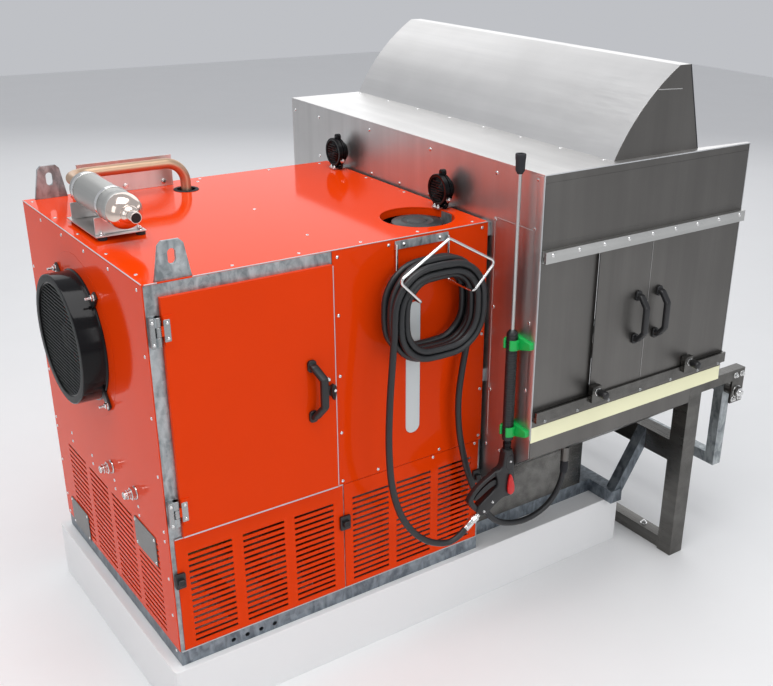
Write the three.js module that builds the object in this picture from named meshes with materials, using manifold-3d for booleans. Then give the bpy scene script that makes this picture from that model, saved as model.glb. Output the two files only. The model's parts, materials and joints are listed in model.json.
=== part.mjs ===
// Wheelie-bin washing machine with a high-pressure washer: a power cabinet (engine, pump and
// water tank) beside a stainless wash chamber that takes two upturned bins from its open end.
// Millimetres, +X along the machine, +Y to its back, +Z up. Coordinates below are measured from
// the cabinet's lower front left corner; the group is then moved so that the origin lies under
// the skid's middle cross member, where the machine is bolted down.
import * as THREE from 'three';
import { mergeVertices } from 'three/addons/utils/BufferGeometryUtils.js';
import Module from 'manifold-3d';

// ---------------------------------------------------------------- driving dimensions
const seatGap = 0.3;             // clearance between pieces that rest on each other
const runningGap = 0.4;          // clearance round pins, shafts and sliding leaves

// Cabinet
const cabinetLength = 1020;
const cabinetDepth = 895;
const cabinetHeight = 1100;
const postSize = 40;
const skinThickness = 2.7;
const middlePostX = 503;
const middleRailZ = 385;
const deckEndX = 400;
const deckThickness = 6;
const bearerHeight = 129;
const spacerZ = 600;

// Skid
const skidHeight = 48;
const skidWidth = 50;
const railInset = 60;
const pumpBarX = [200, 350];
const pumpBarWidth = 40;
const baseHoleRadius = 7;
const baseHoleX = 154;
const baseHolePitch = 43;
const baseHoleCount = 4;
const baseHoleZ = 19;
const outriggerReach = 115;
const braceSize = 40;
const braceInset = 24;

// Lifting eyes
const eyeX = 78;
const eyeWidth = 94;
const eyeTopWidth = 63;
const eyeHeight = 98;
const eyeCorner = 10;
const eyeThickness = 8;
const eyeInset = 3;
const eyeSlotWidth = 20;
const eyeSlotHeight = 38;

// Door
const doorLeft = 34;
const doorRight = middlePostX - 3;
const doorBottom = middleRailZ + 22;
const doorTop = cabinetHeight - 33;
const doorDepth = 12;
const doorSkin = 3;
const hingeX = 22;
const hingeStandoff = 18;
const hingeRadius = 7;
const hingeHeight = 76;
const hingeCentres = [doorBottom + 78, doorTop - 82];
const doorHandleX = doorRight - 60;
const doorHandleZ = (doorBottom + doorTop) / 2 - 10;
const latchX = doorRight - 16;
const latchZ = doorHandleZ - 12;
const latchBossRadius = 13;
const latchWingHalf = 18;
const latchWingRadius = 6;
const latchStandoff = 22;
const latchTongue = 11;

// Bow handles
const handleLength = 160;
const handleReach = 42;
const handleRadius = 8;

// Louvred panels and their latches
const louvreBottom = 50;
const louvreTop = doorBottom - 5;
const louvreLeftX = [12, middlePostX + 16];
const louvreRightX = [middlePostX + 20, cabinetLength - 8];
const slotHeight = 8;
const slotPitch = 18.5;
const slotRows = 16;
const slotBottomZ = 66;
const slotWidth = 126;
const endSlotWidth = 152;
const endSlotInset = 82;
const endSlotPitch = (cabinetDepth - 191 - endSlotWidth) / 3;
const panelLatchZ = 278;
const panelLatchHeight = 46;

// Sight slot
const sightX = cabinetLength - 258;
const sightWidth = 51;
const sightBottomZ = 500;
const sightTopZ = cabinetHeight - 189;

// Engine, cooling fan, belt drive and pump
const shaftY = cabinetDepth - 410;
const shaftZ = cabinetHeight - 282;
const shaftRadius = 15;
const cowlRadius = 216;
const cowlDepth = 67;
const cowlWall = 10;
const cowlLip = 20;
const cowlFlange = 14;
const cowlSides = 28;
const grilleThickness = 4;
const grilleBars = 9;
const grilleBarHeight = 9;
const fanRadius = 180;
const fanBlades = 8;
const fanBladeWidth = 52;
const fanHubRadius = 42;
const fanHubDepth = 26;
const engineX = [95, 398];
const engineHalfWidth = 120;
const engineBlockTop = shaftZ + 60;
const engineTopZ = shaftZ + 167;
const finCount = 5;
const finPitch = 16;
const pulleyX = 410;
const pulleyWidth = 36;
const drivePulleyRadius = 55;
const pumpPulleyRadius = 88;
const pumpShaftZ = 200;
const beltThickness = 9;
const beltWidth = 14;
const beltGap = 0.8;
const flangeHeight = 12;
const pumpHalfWidth = 80;
const pumpTop = 70;
const pumpHeadY = [175, 79];
const pumpHeadZ = [52, 48];
const plungerStart = 45;
const plungerPitch = 55;
const plungerRadius = 21;
const valveRadius = 15;
const valveY = 130;
const valveTop = 66;
const pumpOutletReach = 22;

// Water tank and its filler
const tankX = [middlePostX + 57, cabinetLength - 50];
const tankTopZ = cabinetHeight - 60;
const tankInset = 45;
const tankCorner = 30;
const fillerX = cabinetLength - 145;
const fillerY = 143;
const fillerHoleRadius = 108;
const neckRadius = 62;
const neckHeight = 26;
const capRadius = 75;
const capHeight = 20;

// Exhaust
const silencerX = 92;
const silencerZ = cabinetHeight + 90;
const silencerRadius = 56;
const silencerFrontY = cabinetDepth - 560;
const silencerBackY = cabinetDepth - 90;
const exhaustX = 450;
const exhaustY = cabinetDepth - 120;
const exhaustRadius = 22;
const exhaustBend = 62;
const exhaustHoleGap = 13;
const inletStubLength = 18;
const standX = [30, 165];
const standY = [cabinetDepth - 515, cabinetDepth - 290];
const footHeight = 10;
const footRadius = 11;
const saddleHalf = 45;
const sheetGauge = 3;
const shieldY = cabinetDepth - 45;
const shieldX = [128, 440];
const shieldTopZ = cabinetHeight + 98;

// Water fittings on the end panel
const fittingY = { inlet: 384, outlet: 208 };
const fittingZ = 451;
const fittingHoleRadius = 14;

// Hose: hook, coil and free runs
const hoseDiameter = 20;
const hookCentreX = cabinetLength - 231.5;
const hookLegSpacing = 173;
const hookRodRadius = 4;
const hookTopZ = cabinetHeight - 12;
const hookArmZ = cabinetHeight - 142;
const hookReach = 130;
const hookFlareWidth = 320;
const hookFlareZ = hookArmZ + 73;
const hookApexZ = hookArmZ + 164;
const strapHeight = 24;
const coilLoops = 8.5;
const coilLayers = 4;
const coilPitch = 20.8;
const coilLayerPitch = 21.4;
const coilCornerRadius = 124;
const coilFlatX = 64;
const coilFlatZ = 37;
const coilFrontY = -102;
const coilSteps = 22;
const coilSides = 6;
const supplyX = cabinetLength + 325;
const supplyY = -50;
const supplyZ = 250;
const supplyStub = 50;
const supplyRadius = 14;

// The free runs, as [from the hook's middle or the supply fitting along x, y, z]
const gunRun = [
  [-164.5, -104, 790], [-176.5, -108, 665], [-182.5, -113, 535], [-175.5, -120, 412],
  [-145.5, -128, 308], [-96.5, -136, 236], [-40.5, -143, 196], [11.5, -148, 183],
];
const supplyRun = [
  [-410, -38, 795], [-430, -40, 700], [-445, -42, 600], [-443, -44, 500], [-425, -46, 400],
  [-395, -48, 300], [-348, -50, 195], [-285, -50, 115], [-205, -50, 80], [-125, -50, 78],
  [-57, -50, 106], [-15, -50, 160],
];

// Gun and lance, hung on the chamber's left wall
const lanceX = cabinetLength - 15;
const lanceY = -150;
const lanceBottomZ = 440;
const lanceTopZ = cabinetHeight + 226;
const gripRadius = 17;
const gripBottomZ = 470;
const gripTopZ = 822;
const lancePipeRadius = 8;
const lanceEndRadius = 13;
const gunThickness = 30;
const triggerThickness = 14;
const couplingLength = 60;
const clipHeight = 30;
const clipWall = 7;
const clipArm = 14;
const clipZ = { lower: 502, upper: 780 };

// The gun's outlines in x and z, measured from the foot of the lance
const gunOutline = [
  [-15, -0.3], [15, -0.3], [19, -40], [25, -95], [25, -140], [11, -165], [-19, -156], [-94, -206],
  [-112, -182], [-125, -172], [-148, -140], [-144, -122], [-108, -90], [-60, -67], [-23, -57],
  [-19, -30],
];
const gunWindow = [
  [-41, -118], [-39, -100], [-45, -80], [-61, -81], [-102, -102], [-134, -132], [-114, -160],
];
const gunTriggerSlot = [-45, -19, -116, -88];
const gunHandleEnd = [-103, -194];
const triggerPivot = [-31, -102];
const triggerBossRadius = 9;
const triggerOutline = [
  [-33, -110], [-31, -94], [-55, -90], [-90, -106], [-123, -129], [-126, -139], [-113, -143],
  [-65, -115],
];
const catchPivot = [3, -95];
const catchPinRadius = 4;
const catchDepth = 8;
const catchOutline = [[-2, -84], [8, -84], [23, -140], [9, -156], [-8, -143]];

// Work lamps
const lampY = { front: 187, rear: cabinetDepth - 115 };
const lampZ = cabinetHeight + 60;
const lampRadius = 46;
const lampDepth = 44;
const lampReach = 46;
const lampPlate = 4;
const lampStemRadius = 9;
const lampBracketHalf = [16, 15];

// Chamber support frame
const legX = cabinetLength + 715;
const legSize = 62;
const legBottomZ = -185;
const footRailSize = 45;
const crossBeamZ = [180, 258];
const topBeamZ = [420, 480];
const armSize = 40;
const railLength = legX - 100;

// Wash chamber
const chamberGap = 11;
const chamberRight = legX + 140;
const chamberFront = -222;
const chamberBack = cabinetDepth + 255;
const chamberTopZ = cabinetHeight + 176;
const chamberBottomZ = topBeamZ[1] + 7;
const wallGauge = 3;
const doorwayX = [legX - 477, legX - 55];
const leafBottomZ = chamberBottomZ + 78;
const leafTopZ = chamberTopZ - 223;
const doorwayZ = [leafBottomZ + 47, leafTopZ - 7];
const centreSeamX = legX - 266;
const seamGap = 1;
const leafWidth = 217;
const railDepth = 18;
const railHeight = 34;
const railOverlap = 18;
const grooveWidth = 5;
const leafStandoff = 8;
const leafHandleOffset = 45;
const leafHandleZ = 800;
const pinOffset = 205;
const pinZ = leafBottomZ + 35;
const pinRadius = 4;
const pinBlockDepth = 12;
const pinBlockHalf = 18;
const pinNeckLength = 10;
const pinNeckRadius = 9;
const knobLength = 34;
const knobRadius = 13;

// Hood
const hoodLeft = legX - 425;
const hoodRidge = [legX - 188, legX - 143];
const hoodRight = legX - 74;
const hoodTopZ = chamberTopZ + 251;
const hoodFront = chamberFront + 27;
const hoodArcRadius = 628;
const roofFlange = 12;

// Pan and waste-water tank under the chamber
const panBandZ = chamberBottomZ - 62;
const panFloorZ = 212;
const sumpEndX = legX - 200;
const drainRadius = 30;
const drainX = cabinetLength + 130;

// Spray gear
const sprayX = legX - 255;
const sprayY = { front: 165, rear: cabinetDepth - 130 };
const sprayPipeZ = panFloorZ + 38;
const sprayPipeRadius = 14;
const sprayPipeEnd = 30;
const sprayDrop = 40;
const saddleSize = [20, 6];
const riserRadius = 10;
const riserTopZ = 520;
const sprayArm = 95;
const sprayHubRadius = 17;
const sprayHubHeight = 34;

// Bin lifter
const pivotX = legX + 253;
const pivotZ = chamberBottomZ - 85;
const pivotRadius = 12;
const pivotPlate = 8;
const pivotPlateSize = [60, 126];
const armGap = 3;
const lifterBottomZ = 92;
const combY = [0, cabinetDepth + 35];
const combTeeth = 16;
const combToothHeight = 34;
const combPlate = 5;

// ---------------------------------------------------------------- finishes
function finish(color, roughness, metalness) {
  return new THREE.MeshStandardMaterial({ color, roughness, metalness });
}


const orangePaint = finish(0xd8330c, 0.42, 0.0);
const zinc = finish(0x9aa0a3, 0.45, 0.9);
const stainless = finish(0x8f8f8b, 0.32, 0.95);
const brightSteel = finish(0xc9cccf, 0.15, 1.0);
const blackPlastic = finish(0x17181a, 0.5, 0.0);
const blackRubber = finish(0x141516, 0.75, 0.0);
const castIron = finish(0x3c3f42, 0.6, 0.6);
const brass = finish(0xb08a3e, 0.3, 0.95);
const copperTone = finish(0xa9764f, 0.35, 0.9);
const aluminium = finish(0xb9bdc0, 0.35, 0.9);
const tankPlastic = finish(0xdfe3e2, 0.5, 0.0);
const greenPlastic = finish(0x1f9d4a, 0.45, 0.0);
const redPlastic = finish(0xd4202a, 0.4, 0.0);

// ---------------------------------------------------------------- solid tools
const wasm = await Module();
wasm.setup();

const root = new THREE.Group();
root.position.set(-cabinetLength / 2, -cabinetDepth / 2, 0);

function solid(geometry) {
  const bare = geometry.clone();
  bare.deleteAttribute('normal');
  bare.deleteAttribute('uv');
  const merged = mergeVertices(bare, 1e-3);
  return new wasm.Manifold(new wasm.Mesh({
    numProp: 3,
    vertProperties: Float32Array.from(merged.attributes.position.array),
    triVerts: Uint32Array.from(merged.index.array),
  }));
}

function join(...solids) {
  return solids.reduce((sum, next) => sum.add(next));
}

function cut(body, ...tools) {
  return tools.reduce((rest, tool) => rest.subtract(tool), body);
}

function addPiece(name, body, material) {
  const mesh = body.getMesh();
  const geometry = new THREE.BufferGeometry();
  geometry.setAttribute('position', new THREE.BufferAttribute(new Float32Array(mesh.vertProperties), 3));
  geometry.setIndex(new THREE.BufferAttribute(new Uint32Array(mesh.triVerts), 1));
  geometry.computeVertexNormals();
  const piece = new THREE.Mesh(geometry, material);
  piece.name = name;
  root.add(piece);
}

function box(x0, x1, y0, y1, z0, z1) {
  const geometry = new THREE.BoxGeometry(x1 - x0, y1 - y0, z1 - z0);
  return solid(geometry.translate((x0 + x1) / 2, (y0 + y1) / 2, (z0 + z1) / 2));
}

// Matrices that lay a profile's (u, v) plane on the machine; the extrusion runs along the third.
const FRONT = new THREE.Matrix4().makeBasis(
  new THREE.Vector3(1, 0, 0), new THREE.Vector3(0, 0, 1), new THREE.Vector3(0, -1, 0));
const END = new THREE.Matrix4().makeBasis(
  new THREE.Vector3(0, 1, 0), new THREE.Vector3(0, 0, 1), new THREE.Vector3(1, 0, 0));
const TOP = new THREE.Matrix4();

// A profile in x and z, as thick as from y0 to y1 (FRONT); in y and z from x0 to x1 (END);
// or in x and y from z0 to z1 (TOP).
function extrude(plane, shape, from, to, curveSegments = 12) {
  const depth = to - from;
  const geometry = new THREE.ExtrudeGeometry(shape, { depth, bevelEnabled: false, curveSegments });
  geometry.applyMatrix4(plane);
  if (plane === FRONT) geometry.translate(0, to, 0);
  if (plane === END) geometry.translate(from, 0, 0);
  if (plane === TOP) geometry.translate(0, 0, from);
  return solid(geometry);
}

function polygon(points) {
  return new THREE.Shape(points.map(([u, v]) => new THREE.Vector2(u, v)));
}

function rectangle(u0, u1, v0, v1) {
  return polygon([[u0, v0], [u1, v0], [u1, v1], [u0, v1]]);
}

function circle(u, v, radius) {
  return new THREE.Shape().absarc(u, v, radius, 0, 2 * Math.PI, false);
}

// A faceted bore's flats lie inside its corners: the radius of its flats, and the radius of the
// corners that puts its flats at a wanted radius.
const atFlats = (radius, sides) => radius * Math.cos(Math.PI / sides);
const cornersFor = (radius, sides) => radius / Math.cos(Math.PI / sides);

// A round bar between two points.
function rod(from, to, radius, sides = 12) {
  const a = new THREE.Vector3(...from);
  const b = new THREE.Vector3(...to);
  const geometry = new THREE.CylinderGeometry(radius, radius, a.distanceTo(b), sides);
  const turn = new THREE.Quaternion().setFromUnitVectors(
    new THREE.Vector3(0, 1, 0), b.clone().sub(a).normalize());
  geometry.applyQuaternion(turn);
  return solid(geometry.translate(...a.add(b).multiplyScalar(0.5).toArray()));
}

// A turned piece: profile points are [radius, distance along the axis from the start point].
function turned(start, axis, profile, sides = 20) {
  const points = profile.map(([radius, along]) => new THREE.Vector2(radius, along));
  const geometry = new THREE.LatheGeometry(points, sides);
  geometry.applyQuaternion(new THREE.Quaternion().setFromUnitVectors(
    new THREE.Vector3(0, 1, 0), new THREE.Vector3(...axis).normalize()));
  const body = solid(geometry.translate(...start));
  return body.volume() < 0 ? solid(flipped(geometry)) : body;
}

function flipped(geometry) {
  const index = geometry.index.array;
  for (let i = 0; i < index.length; i += 3) [index[i], index[i + 1]] = [index[i + 1], index[i]];
  return geometry;
}

function tube(curve, radius, sides, steps) {
  const section = Array.from({ length: sides }, (_, i) => {
    const angle = 2 * Math.PI * i / sides;
    return [radius * Math.cos(angle), radius * Math.sin(angle)];
  });
  const settings = { extrudePath: curve, steps, bevelEnabled: false };
  return solid(new THREE.ExtrudeGeometry(polygon(section), settings));
}

// A bow handle that stands forward (-Y) of a face, upright, with rounded shoulders.
function bowHandle(x, faceY, z) {
  const half = handleLength / 2 - handleRadius;
  const shoulder = 2 * handleRadius;
  const path = new THREE.CurvePath();
  const at = (y, dz) => new THREE.Vector3(x, y, z + dz);
  const outY = faceY - handleReach + handleRadius;
  const lowTurn = [at(outY + shoulder, -half), at(outY, -half), at(outY, shoulder - half)];
  const highTurn = [at(outY, half - shoulder), at(outY, half), at(outY + shoulder, half)];
  path.add(new THREE.LineCurve3(at(faceY, -half), lowTurn[0]));
  path.add(new THREE.QuadraticBezierCurve3(...lowTurn));
  path.add(new THREE.LineCurve3(lowTurn[2], highTurn[0]));
  path.add(new THREE.QuadraticBezierCurve3(...highTurn));
  path.add(new THREE.LineCurve3(highTurn[2], at(faceY, half)));
  return tube(path, handleRadius, 8, 13);
}

// ---------------------------------------------------------------- skid
const middleBarX = cabinetLength / 2 - skidWidth / 2;
const railBackY = cabinetDepth - railInset - skidWidth;

function buildSkid() {
  const w = skidWidth;
  const stubX = railLength - w;
  const frontStubY = railInset - outriggerReach;
  const backStubY = cabinetDepth - frontStubY;
  const plan = polygon([
    [0, 0], [cabinetLength, 0], [cabinetLength, railInset], [stubX, railInset], [stubX, frontStubY],
    [railLength, frontStubY], [railLength, backStubY], [stubX, backStubY], [stubX, railBackY + w],
    [cabinetLength, railBackY + w], [cabinetLength, cabinetDepth], [0, cabinetDepth],
  ]);
  const bay = (x0, x1, y0, y1) => box(x0, x1, y0, y1, -1, skidHeight + 1);
  const bays = [bay(cabinetLength, stubX, railInset + w, railBackY)];
  const bars = [0, ...pumpBarX, middleBarX, cabinetLength - w];
  const widths = [w, pumpBarWidth, pumpBarWidth, w];
  for (const [i, width] of widths.entries()) {
    bays.push(bay(bars[i] + width, bars[i + 1], w, cabinetDepth - w));
  }

  const brace = (y) => {
    const foot = new THREE.Vector2(stubX + w / 2, skidHeight / 2);
    const head = new THREE.Vector2(legX, (crossBeamZ[0] + crossBeamZ[1]) / 2);
    const along = head.clone().sub(foot).normalize();
    const side = new THREE.Vector2(-along.y, along.x).multiplyScalar(braceSize / 2);
    const past = head.clone().addScaledVector(along, braceSize);
    const outline = [
      foot.clone().add(side), past.clone().add(side), past.clone().sub(side), foot.clone().sub(side),
    ];
    const strut = extrude(FRONT, new THREE.Shape(outline), y - braceSize / 2, y + braceSize / 2);
    return cut(strut, box(legX - seatGap, legX + legSize, y - braceSize, y + braceSize, 0, chamberBottomZ));
  };
  let skid = join(
    cut(extrude(TOP, plan, 0, skidHeight), ...bays),
    brace(frontStubY + braceInset),
    brace(backStubY - braceInset),
  );
  for (let i = 0; i < baseHoleCount; i += 1) {
    const x = baseHoleX + i * baseHolePitch;
    skid = cut(skid, rod([x, -1, baseHoleZ], [x, skidWidth + 1, baseHoleZ], baseHoleRadius, 10));
  }
  addPiece('base_frame', skid, zinc);
}

// ---------------------------------------------------------------- cabinet frame and skins
const leftWallX = cabinetLength + chamberGap;
const postBottomZ = skidHeight + seatGap;

function eyeOutline() {
  const outline = polygon([
    [eyeX - eyeWidth / 2, cabinetHeight - postSize],
    [eyeX + eyeWidth / 2, cabinetHeight - postSize],
    [eyeX + eyeWidth / 2, cabinetHeight],
    [eyeX + eyeTopWidth / 2, cabinetHeight + eyeHeight - eyeCorner],
    [eyeX + eyeTopWidth / 2 - eyeCorner, cabinetHeight + eyeHeight],
    [eyeX - eyeTopWidth / 2 + eyeCorner, cabinetHeight + eyeHeight],
    [eyeX - eyeTopWidth / 2, cabinetHeight + eyeHeight - eyeCorner],
    [eyeX - eyeWidth / 2, cabinetHeight],
  ]);
  const slotCentreZ = cabinetHeight + eyeHeight * 0.6;
  const radius = eyeSlotWidth / 2;
  const straight = eyeSlotHeight / 2 - radius;
  const slot = new THREE.Path();
  slot.absarc(eyeX, slotCentreZ + straight, radius, 0, Math.PI, false);
  slot.absarc(eyeX, slotCentreZ - straight, radius, Math.PI, 2 * Math.PI, false);
  outline.holes.push(slot);
  return outline;
}

function buildCabinetFrame() {
  const length = cabinetLength;
  const depth = cabinetDepth;
  const p = postSize;
  const ring = (z0, z1) => join(
    box(0, length, 0, p, z0, z1),
    box(0, length, depth - p, depth, z0, z1),
    box(0, p, 0, depth, z0, z1),
    box(length - p, length, 0, depth, z0, z1),
  );
  const post = (x, y) => box(x, x + p, y, y + p, postBottomZ, cabinetHeight);
  const deckZ = middleRailZ + p;
  const bearerTop = deckZ + deckThickness + bearerHeight;
  const bearer = (y) => box(engineX[0], deckEndX, y, y + p, deckZ, bearerTop);
  const spacer = (y, z) => box(length - 1, leftWallX - seatGap, y, y + p, z, z + p);
  const parts = [
    post(0, 0), post(length - p, 0), post(0, depth - p), post(length - p, depth - p),
    post(middlePostX, 0),
    ring(cabinetHeight - p, cabinetHeight),
    ring(middleRailZ, middleRailZ + p),
    box(p / 2, deckEndX, p / 2, depth - p / 2, deckZ - 1, deckZ + deckThickness),
    bearer(shaftY - engineHalfWidth), bearer(shaftY + 5),
    extrude(FRONT, eyeOutline(), eyeInset, eyeInset + eyeThickness, 6),
    extrude(FRONT, eyeOutline(), depth - eyeInset - eyeThickness, depth - eyeInset, 6),
    spacer(0, cabinetHeight - p), spacer(depth - p, cabinetHeight - p),
    spacer(0, spacerZ), spacer(depth - p, spacerZ),
  ];
  const third = hingeHeight / 3;
  for (const z of hingeCentres) {
    parts.push(cut(
      join(
        box(2, hingeX, -hingeStandoff, 1, z - hingeHeight / 2, z + hingeHeight / 2),
        rod([hingeX, -hingeStandoff + hingeRadius, z - hingeHeight / 2],
          [hingeX, -hingeStandoff + hingeRadius, z + hingeHeight / 2], hingeRadius, 12),
      ),
      box(hingeX - hingeRadius - 2, hingeX + hingeRadius + 1, -hingeStandoff - 1, -seatGap,
        z - third / 2 - runningGap, z + third / 2 + runningGap),
    ));
  }
  addPiece('cabinet_frame', join(...parts), zinc);
}

// The cutters for a field of louvre slots in a front or end skin.
function louvreSlots(plane, columns, width) {
  const slots = [];
  for (const u of columns) {
    for (let row = 0; row < slotRows; row += 1) {
      const v = slotBottomZ + row * slotPitch;
      const slot = rectangle(u, u + width, v, v + slotHeight);
      slots.push(extrude(plane, slot, -seatGap - skinThickness - 1, 1));
    }
  }
  return slots;
}

function buildSkins() {
  const outside = -seatGap - skinThickness;
  const front = (shape, segments) => extrude(FRONT, shape, outside, -seatGap, segments);

  const top = rectangle(outside, cabinetLength, outside, cabinetDepth + seatGap + skinThickness);
  top.holes.push(circle(fillerX, fillerY, fillerHoleRadius));
  top.holes.push(circle(exhaustX, exhaustY, exhaustRadius + exhaustHoleGap));
  for (const y of [eyeInset, cabinetDepth - eyeInset - eyeThickness]) {
    const half = eyeWidth / 2 + 1;
    top.holes.push(rectangle(eyeX - half, eyeX + half, y - 1, y + eyeThickness + 1));
  }
  const topZ = cabinetHeight + seatGap;
  addPiece('top_panel', extrude(TOP, top, topZ, topZ + skinThickness, 14), orangePaint);

  const end = rectangle(0, cabinetDepth, postBottomZ, cabinetHeight);
  end.holes.push(circle(shaftY, shaftZ, cowlRadius - cowlWall - 4));
  for (const y of Object.values(fittingY)) end.holes.push(circle(y, fittingZ, fittingHoleRadius));
  const endColumns = [0, 1, 2, 3].map((i) => endSlotInset + i * endSlotPitch);
  const endSlots = louvreSlots(END, endColumns, endSlotWidth);
  addPiece('end_panel', cut(extrude(END, end, outside, -seatGap, 16), ...endSlots), orangePaint);

  const backY = cabinetDepth + seatGap;
  addPiece('back_panel', box(0, cabinetLength, backY, backY + skinThickness, postBottomZ, cabinetHeight),
    orangePaint);

  const centre = rectangle(middlePostX + 2, cabinetLength, louvreTop + 2, cabinetHeight);
  const half = sightWidth / 2;
  const sight = new THREE.Path();
  sight.moveTo(sightX - half, sightTopZ);
  sight.lineTo(sightX - half, sightBottomZ + half);
  sight.absarc(sightX, sightBottomZ + half, half, Math.PI, 2 * Math.PI, false);
  sight.lineTo(sightX + half, sightTopZ);
  centre.holes.push(sight);
  addPiece('centre_panel', front(centre, 8), orangePaint);

  const louvred = (name, [left, right], columns) => {
    const sheet = front(rectangle(left, right, louvreBottom, louvreTop));
    addPiece(name, cut(sheet, ...louvreSlots(FRONT, columns, slotWidth)), orangePaint);
  };
  const columnsIn = ([left, right]) => {
    const space = (right - left - 3 * slotWidth) / 4;
    return [0, 1, 2].map((i) => left + space + i * (slotWidth + space));
  };
  louvred('louvre_panel_left', louvreLeftX, columnsIn(louvreLeftX));
  louvred('louvre_panel_right', louvreRightX, columnsIn(louvreRightX));

  const latchZ0 = panelLatchZ - panelLatchHeight / 2;
  const latchZ1 = panelLatchZ + panelLatchHeight / 2;
  const latchBody = (x0, x1) => join(
    box(x0, x1, outside - 13, outside - seatGap, latchZ0, latchZ1),
    box(x0 + 6, x1 - 6, outside - 20, outside - 12, panelLatchZ - 9, panelLatchZ + 9),
  );
  addPiece('panel_latch_left', latchBody(2, 30), blackPlastic);
  addPiece('panel_latch_centre', latchBody(middlePostX + 2, middlePostX + 36), blackPlastic);
  addPiece('panel_latch_right', latchBody(cabinetLength - 30, cabinetLength - 2), blackPlastic);
}

// ---------------------------------------------------------------- door
const doorBackY = -seatGap;
const doorFrontY = doorBackY - doorDepth;

function buildDoor() {
  const rim = doorSkin;
  const tray = [doorFrontY + doorSkin, doorBackY + 1, doorBottom + rim, doorTop - rim];
  const spindleHole = cornersFor(latchWingRadius + runningGap, 12);
  let door = cut(
    box(doorLeft, doorRight, doorFrontY, doorBackY, doorBottom, doorTop),
    box(doorLeft + rim, doorRight - rim, ...tray),
    rod([latchX, doorFrontY - 1, latchZ], [latchX, doorBackY + 1, latchZ], spindleHole, 12),
  );
  const third = hingeHeight / 3;
  const axisY = -hingeStandoff + hingeRadius;
  for (const z of hingeCentres) {
    const z0 = z - third / 2;
    const z1 = z + third / 2;
    const leaf = [doorFrontY - 3, doorFrontY + 1, z - hingeHeight / 2, z + hingeHeight / 2];
    door = join(door,
      rod([hingeX, axisY, z0], [hingeX, axisY, z1], hingeRadius - runningGap, 12),
      box(hingeX, doorLeft + 4, axisY - 4, axisY + 2, z0, z1),
      box(doorLeft + 2, doorLeft + 24, ...leaf),
    );
  }
  addPiece('door', door, orangePaint);
  addPiece('door_handle', bowHandle(doorHandleX, doorFrontY - seatGap, doorHandleZ), blackPlastic);

  const wing = new THREE.Shape();
  wing.absarc(latchX, latchZ + latchWingHalf, latchWingRadius, 0, Math.PI, false);
  wing.absarc(latchX, latchZ - latchWingHalf, latchWingRadius, Math.PI, 2 * Math.PI, false);
  const bossBack = [latchX, doorFrontY - seatGap, latchZ];
  const bossFront = [latchX, doorFrontY - 9, latchZ];
  const latch = join(
    rod(bossBack, bossFront, latchBossRadius, 16),
    extrude(FRONT, wing, doorFrontY - latchStandoff, doorFrontY - 8, 6),
    rod([latchX, doorFrontY - 8, latchZ], [latchX, 6, latchZ], latchWingRadius, 12),
    box(latchX - 6, latchX + latchTongue, 2, 5, latchZ - 6, latchZ + 6),
  );
  addPiece('door_latch', latch, blackPlastic);
}

// ---------------------------------------------------------------- engine bay
const cowlBaseX = -seatGap - skinThickness - seatGap;

function buildCooling() {
  const r = cowlRadius;
  const inner = r - cowlWall;
  addPiece('fan_cowl', turned([cowlBaseX, shaftY, shaftZ], [-1, 0, 0], [
    [inner, 0], [r + cowlFlange, 0], [r + cowlFlange, 4], [r, 4], [r, cowlDepth - 8],
    [r - 8, cowlDepth], [r - cowlLip, cowlDepth], [r - cowlLip, cowlDepth - 3],
    [inner, cowlDepth - 3], [inner, 0],
  ], cowlSides), blackPlastic);

  const grilleFront = cowlBaseX - cowlDepth + 3 + seatGap;
  const disc = circle(shaftY, shaftZ, atFlats(inner, cowlSides) - runningGap);
  const open = inner - cowlLip;
  const pitch = (2 * open) / grilleBars;
  for (let i = 0; i < grilleBars; i += 1) {
    const v0 = -open + i * pitch + grilleBarHeight / 2;
    const v1 = v0 + pitch - grilleBarHeight;
    const reach = Math.sqrt(open ** 2 - Math.max(Math.abs(v0), Math.abs(v1)) ** 2);
    disc.holes.push(rectangle(shaftY - reach, shaftY + reach, shaftZ + v0, shaftZ + v1));
  }
  addPiece('cowl_grille', extrude(END, disc, grilleFront, grilleFront + grilleThickness, 18), blackPlastic);

  const fanX = grilleFront + grilleThickness + 12;
  const hubEnd = fanX + fanHubDepth;
  let fan = rod([fanX, shaftY, shaftZ], [hubEnd, shaftY, shaftZ], fanHubRadius, 18);
  const shaftEnd = [engineX[0] - seatGap, shaftY, shaftZ];
  fan = join(fan, rod([hubEnd - 6, shaftY, shaftZ], shaftEnd, shaftRadius, 12));
  const bladeRoot = fanHubRadius - 12;
  for (let i = 0; i < fanBlades; i += 1) {
    const blade = new THREE.BoxGeometry(sheetGauge + 1, fanBladeWidth, fanRadius - bladeRoot);
    blade.translate(0, 0, (fanRadius + bladeRoot) / 2);
    const pitchTurn = new THREE.Matrix4().makeRotationZ(0.4);
    const place = new THREE.Matrix4().makeRotationX(2 * Math.PI * i / fanBlades);
    blade.applyMatrix4(pitchTurn).applyMatrix4(place).translate(fanX + fanHubDepth / 2, shaftY, shaftZ);
    fan = join(fan, solid(blade));
  }
  addPiece('fan', fan, blackPlastic);
}

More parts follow.
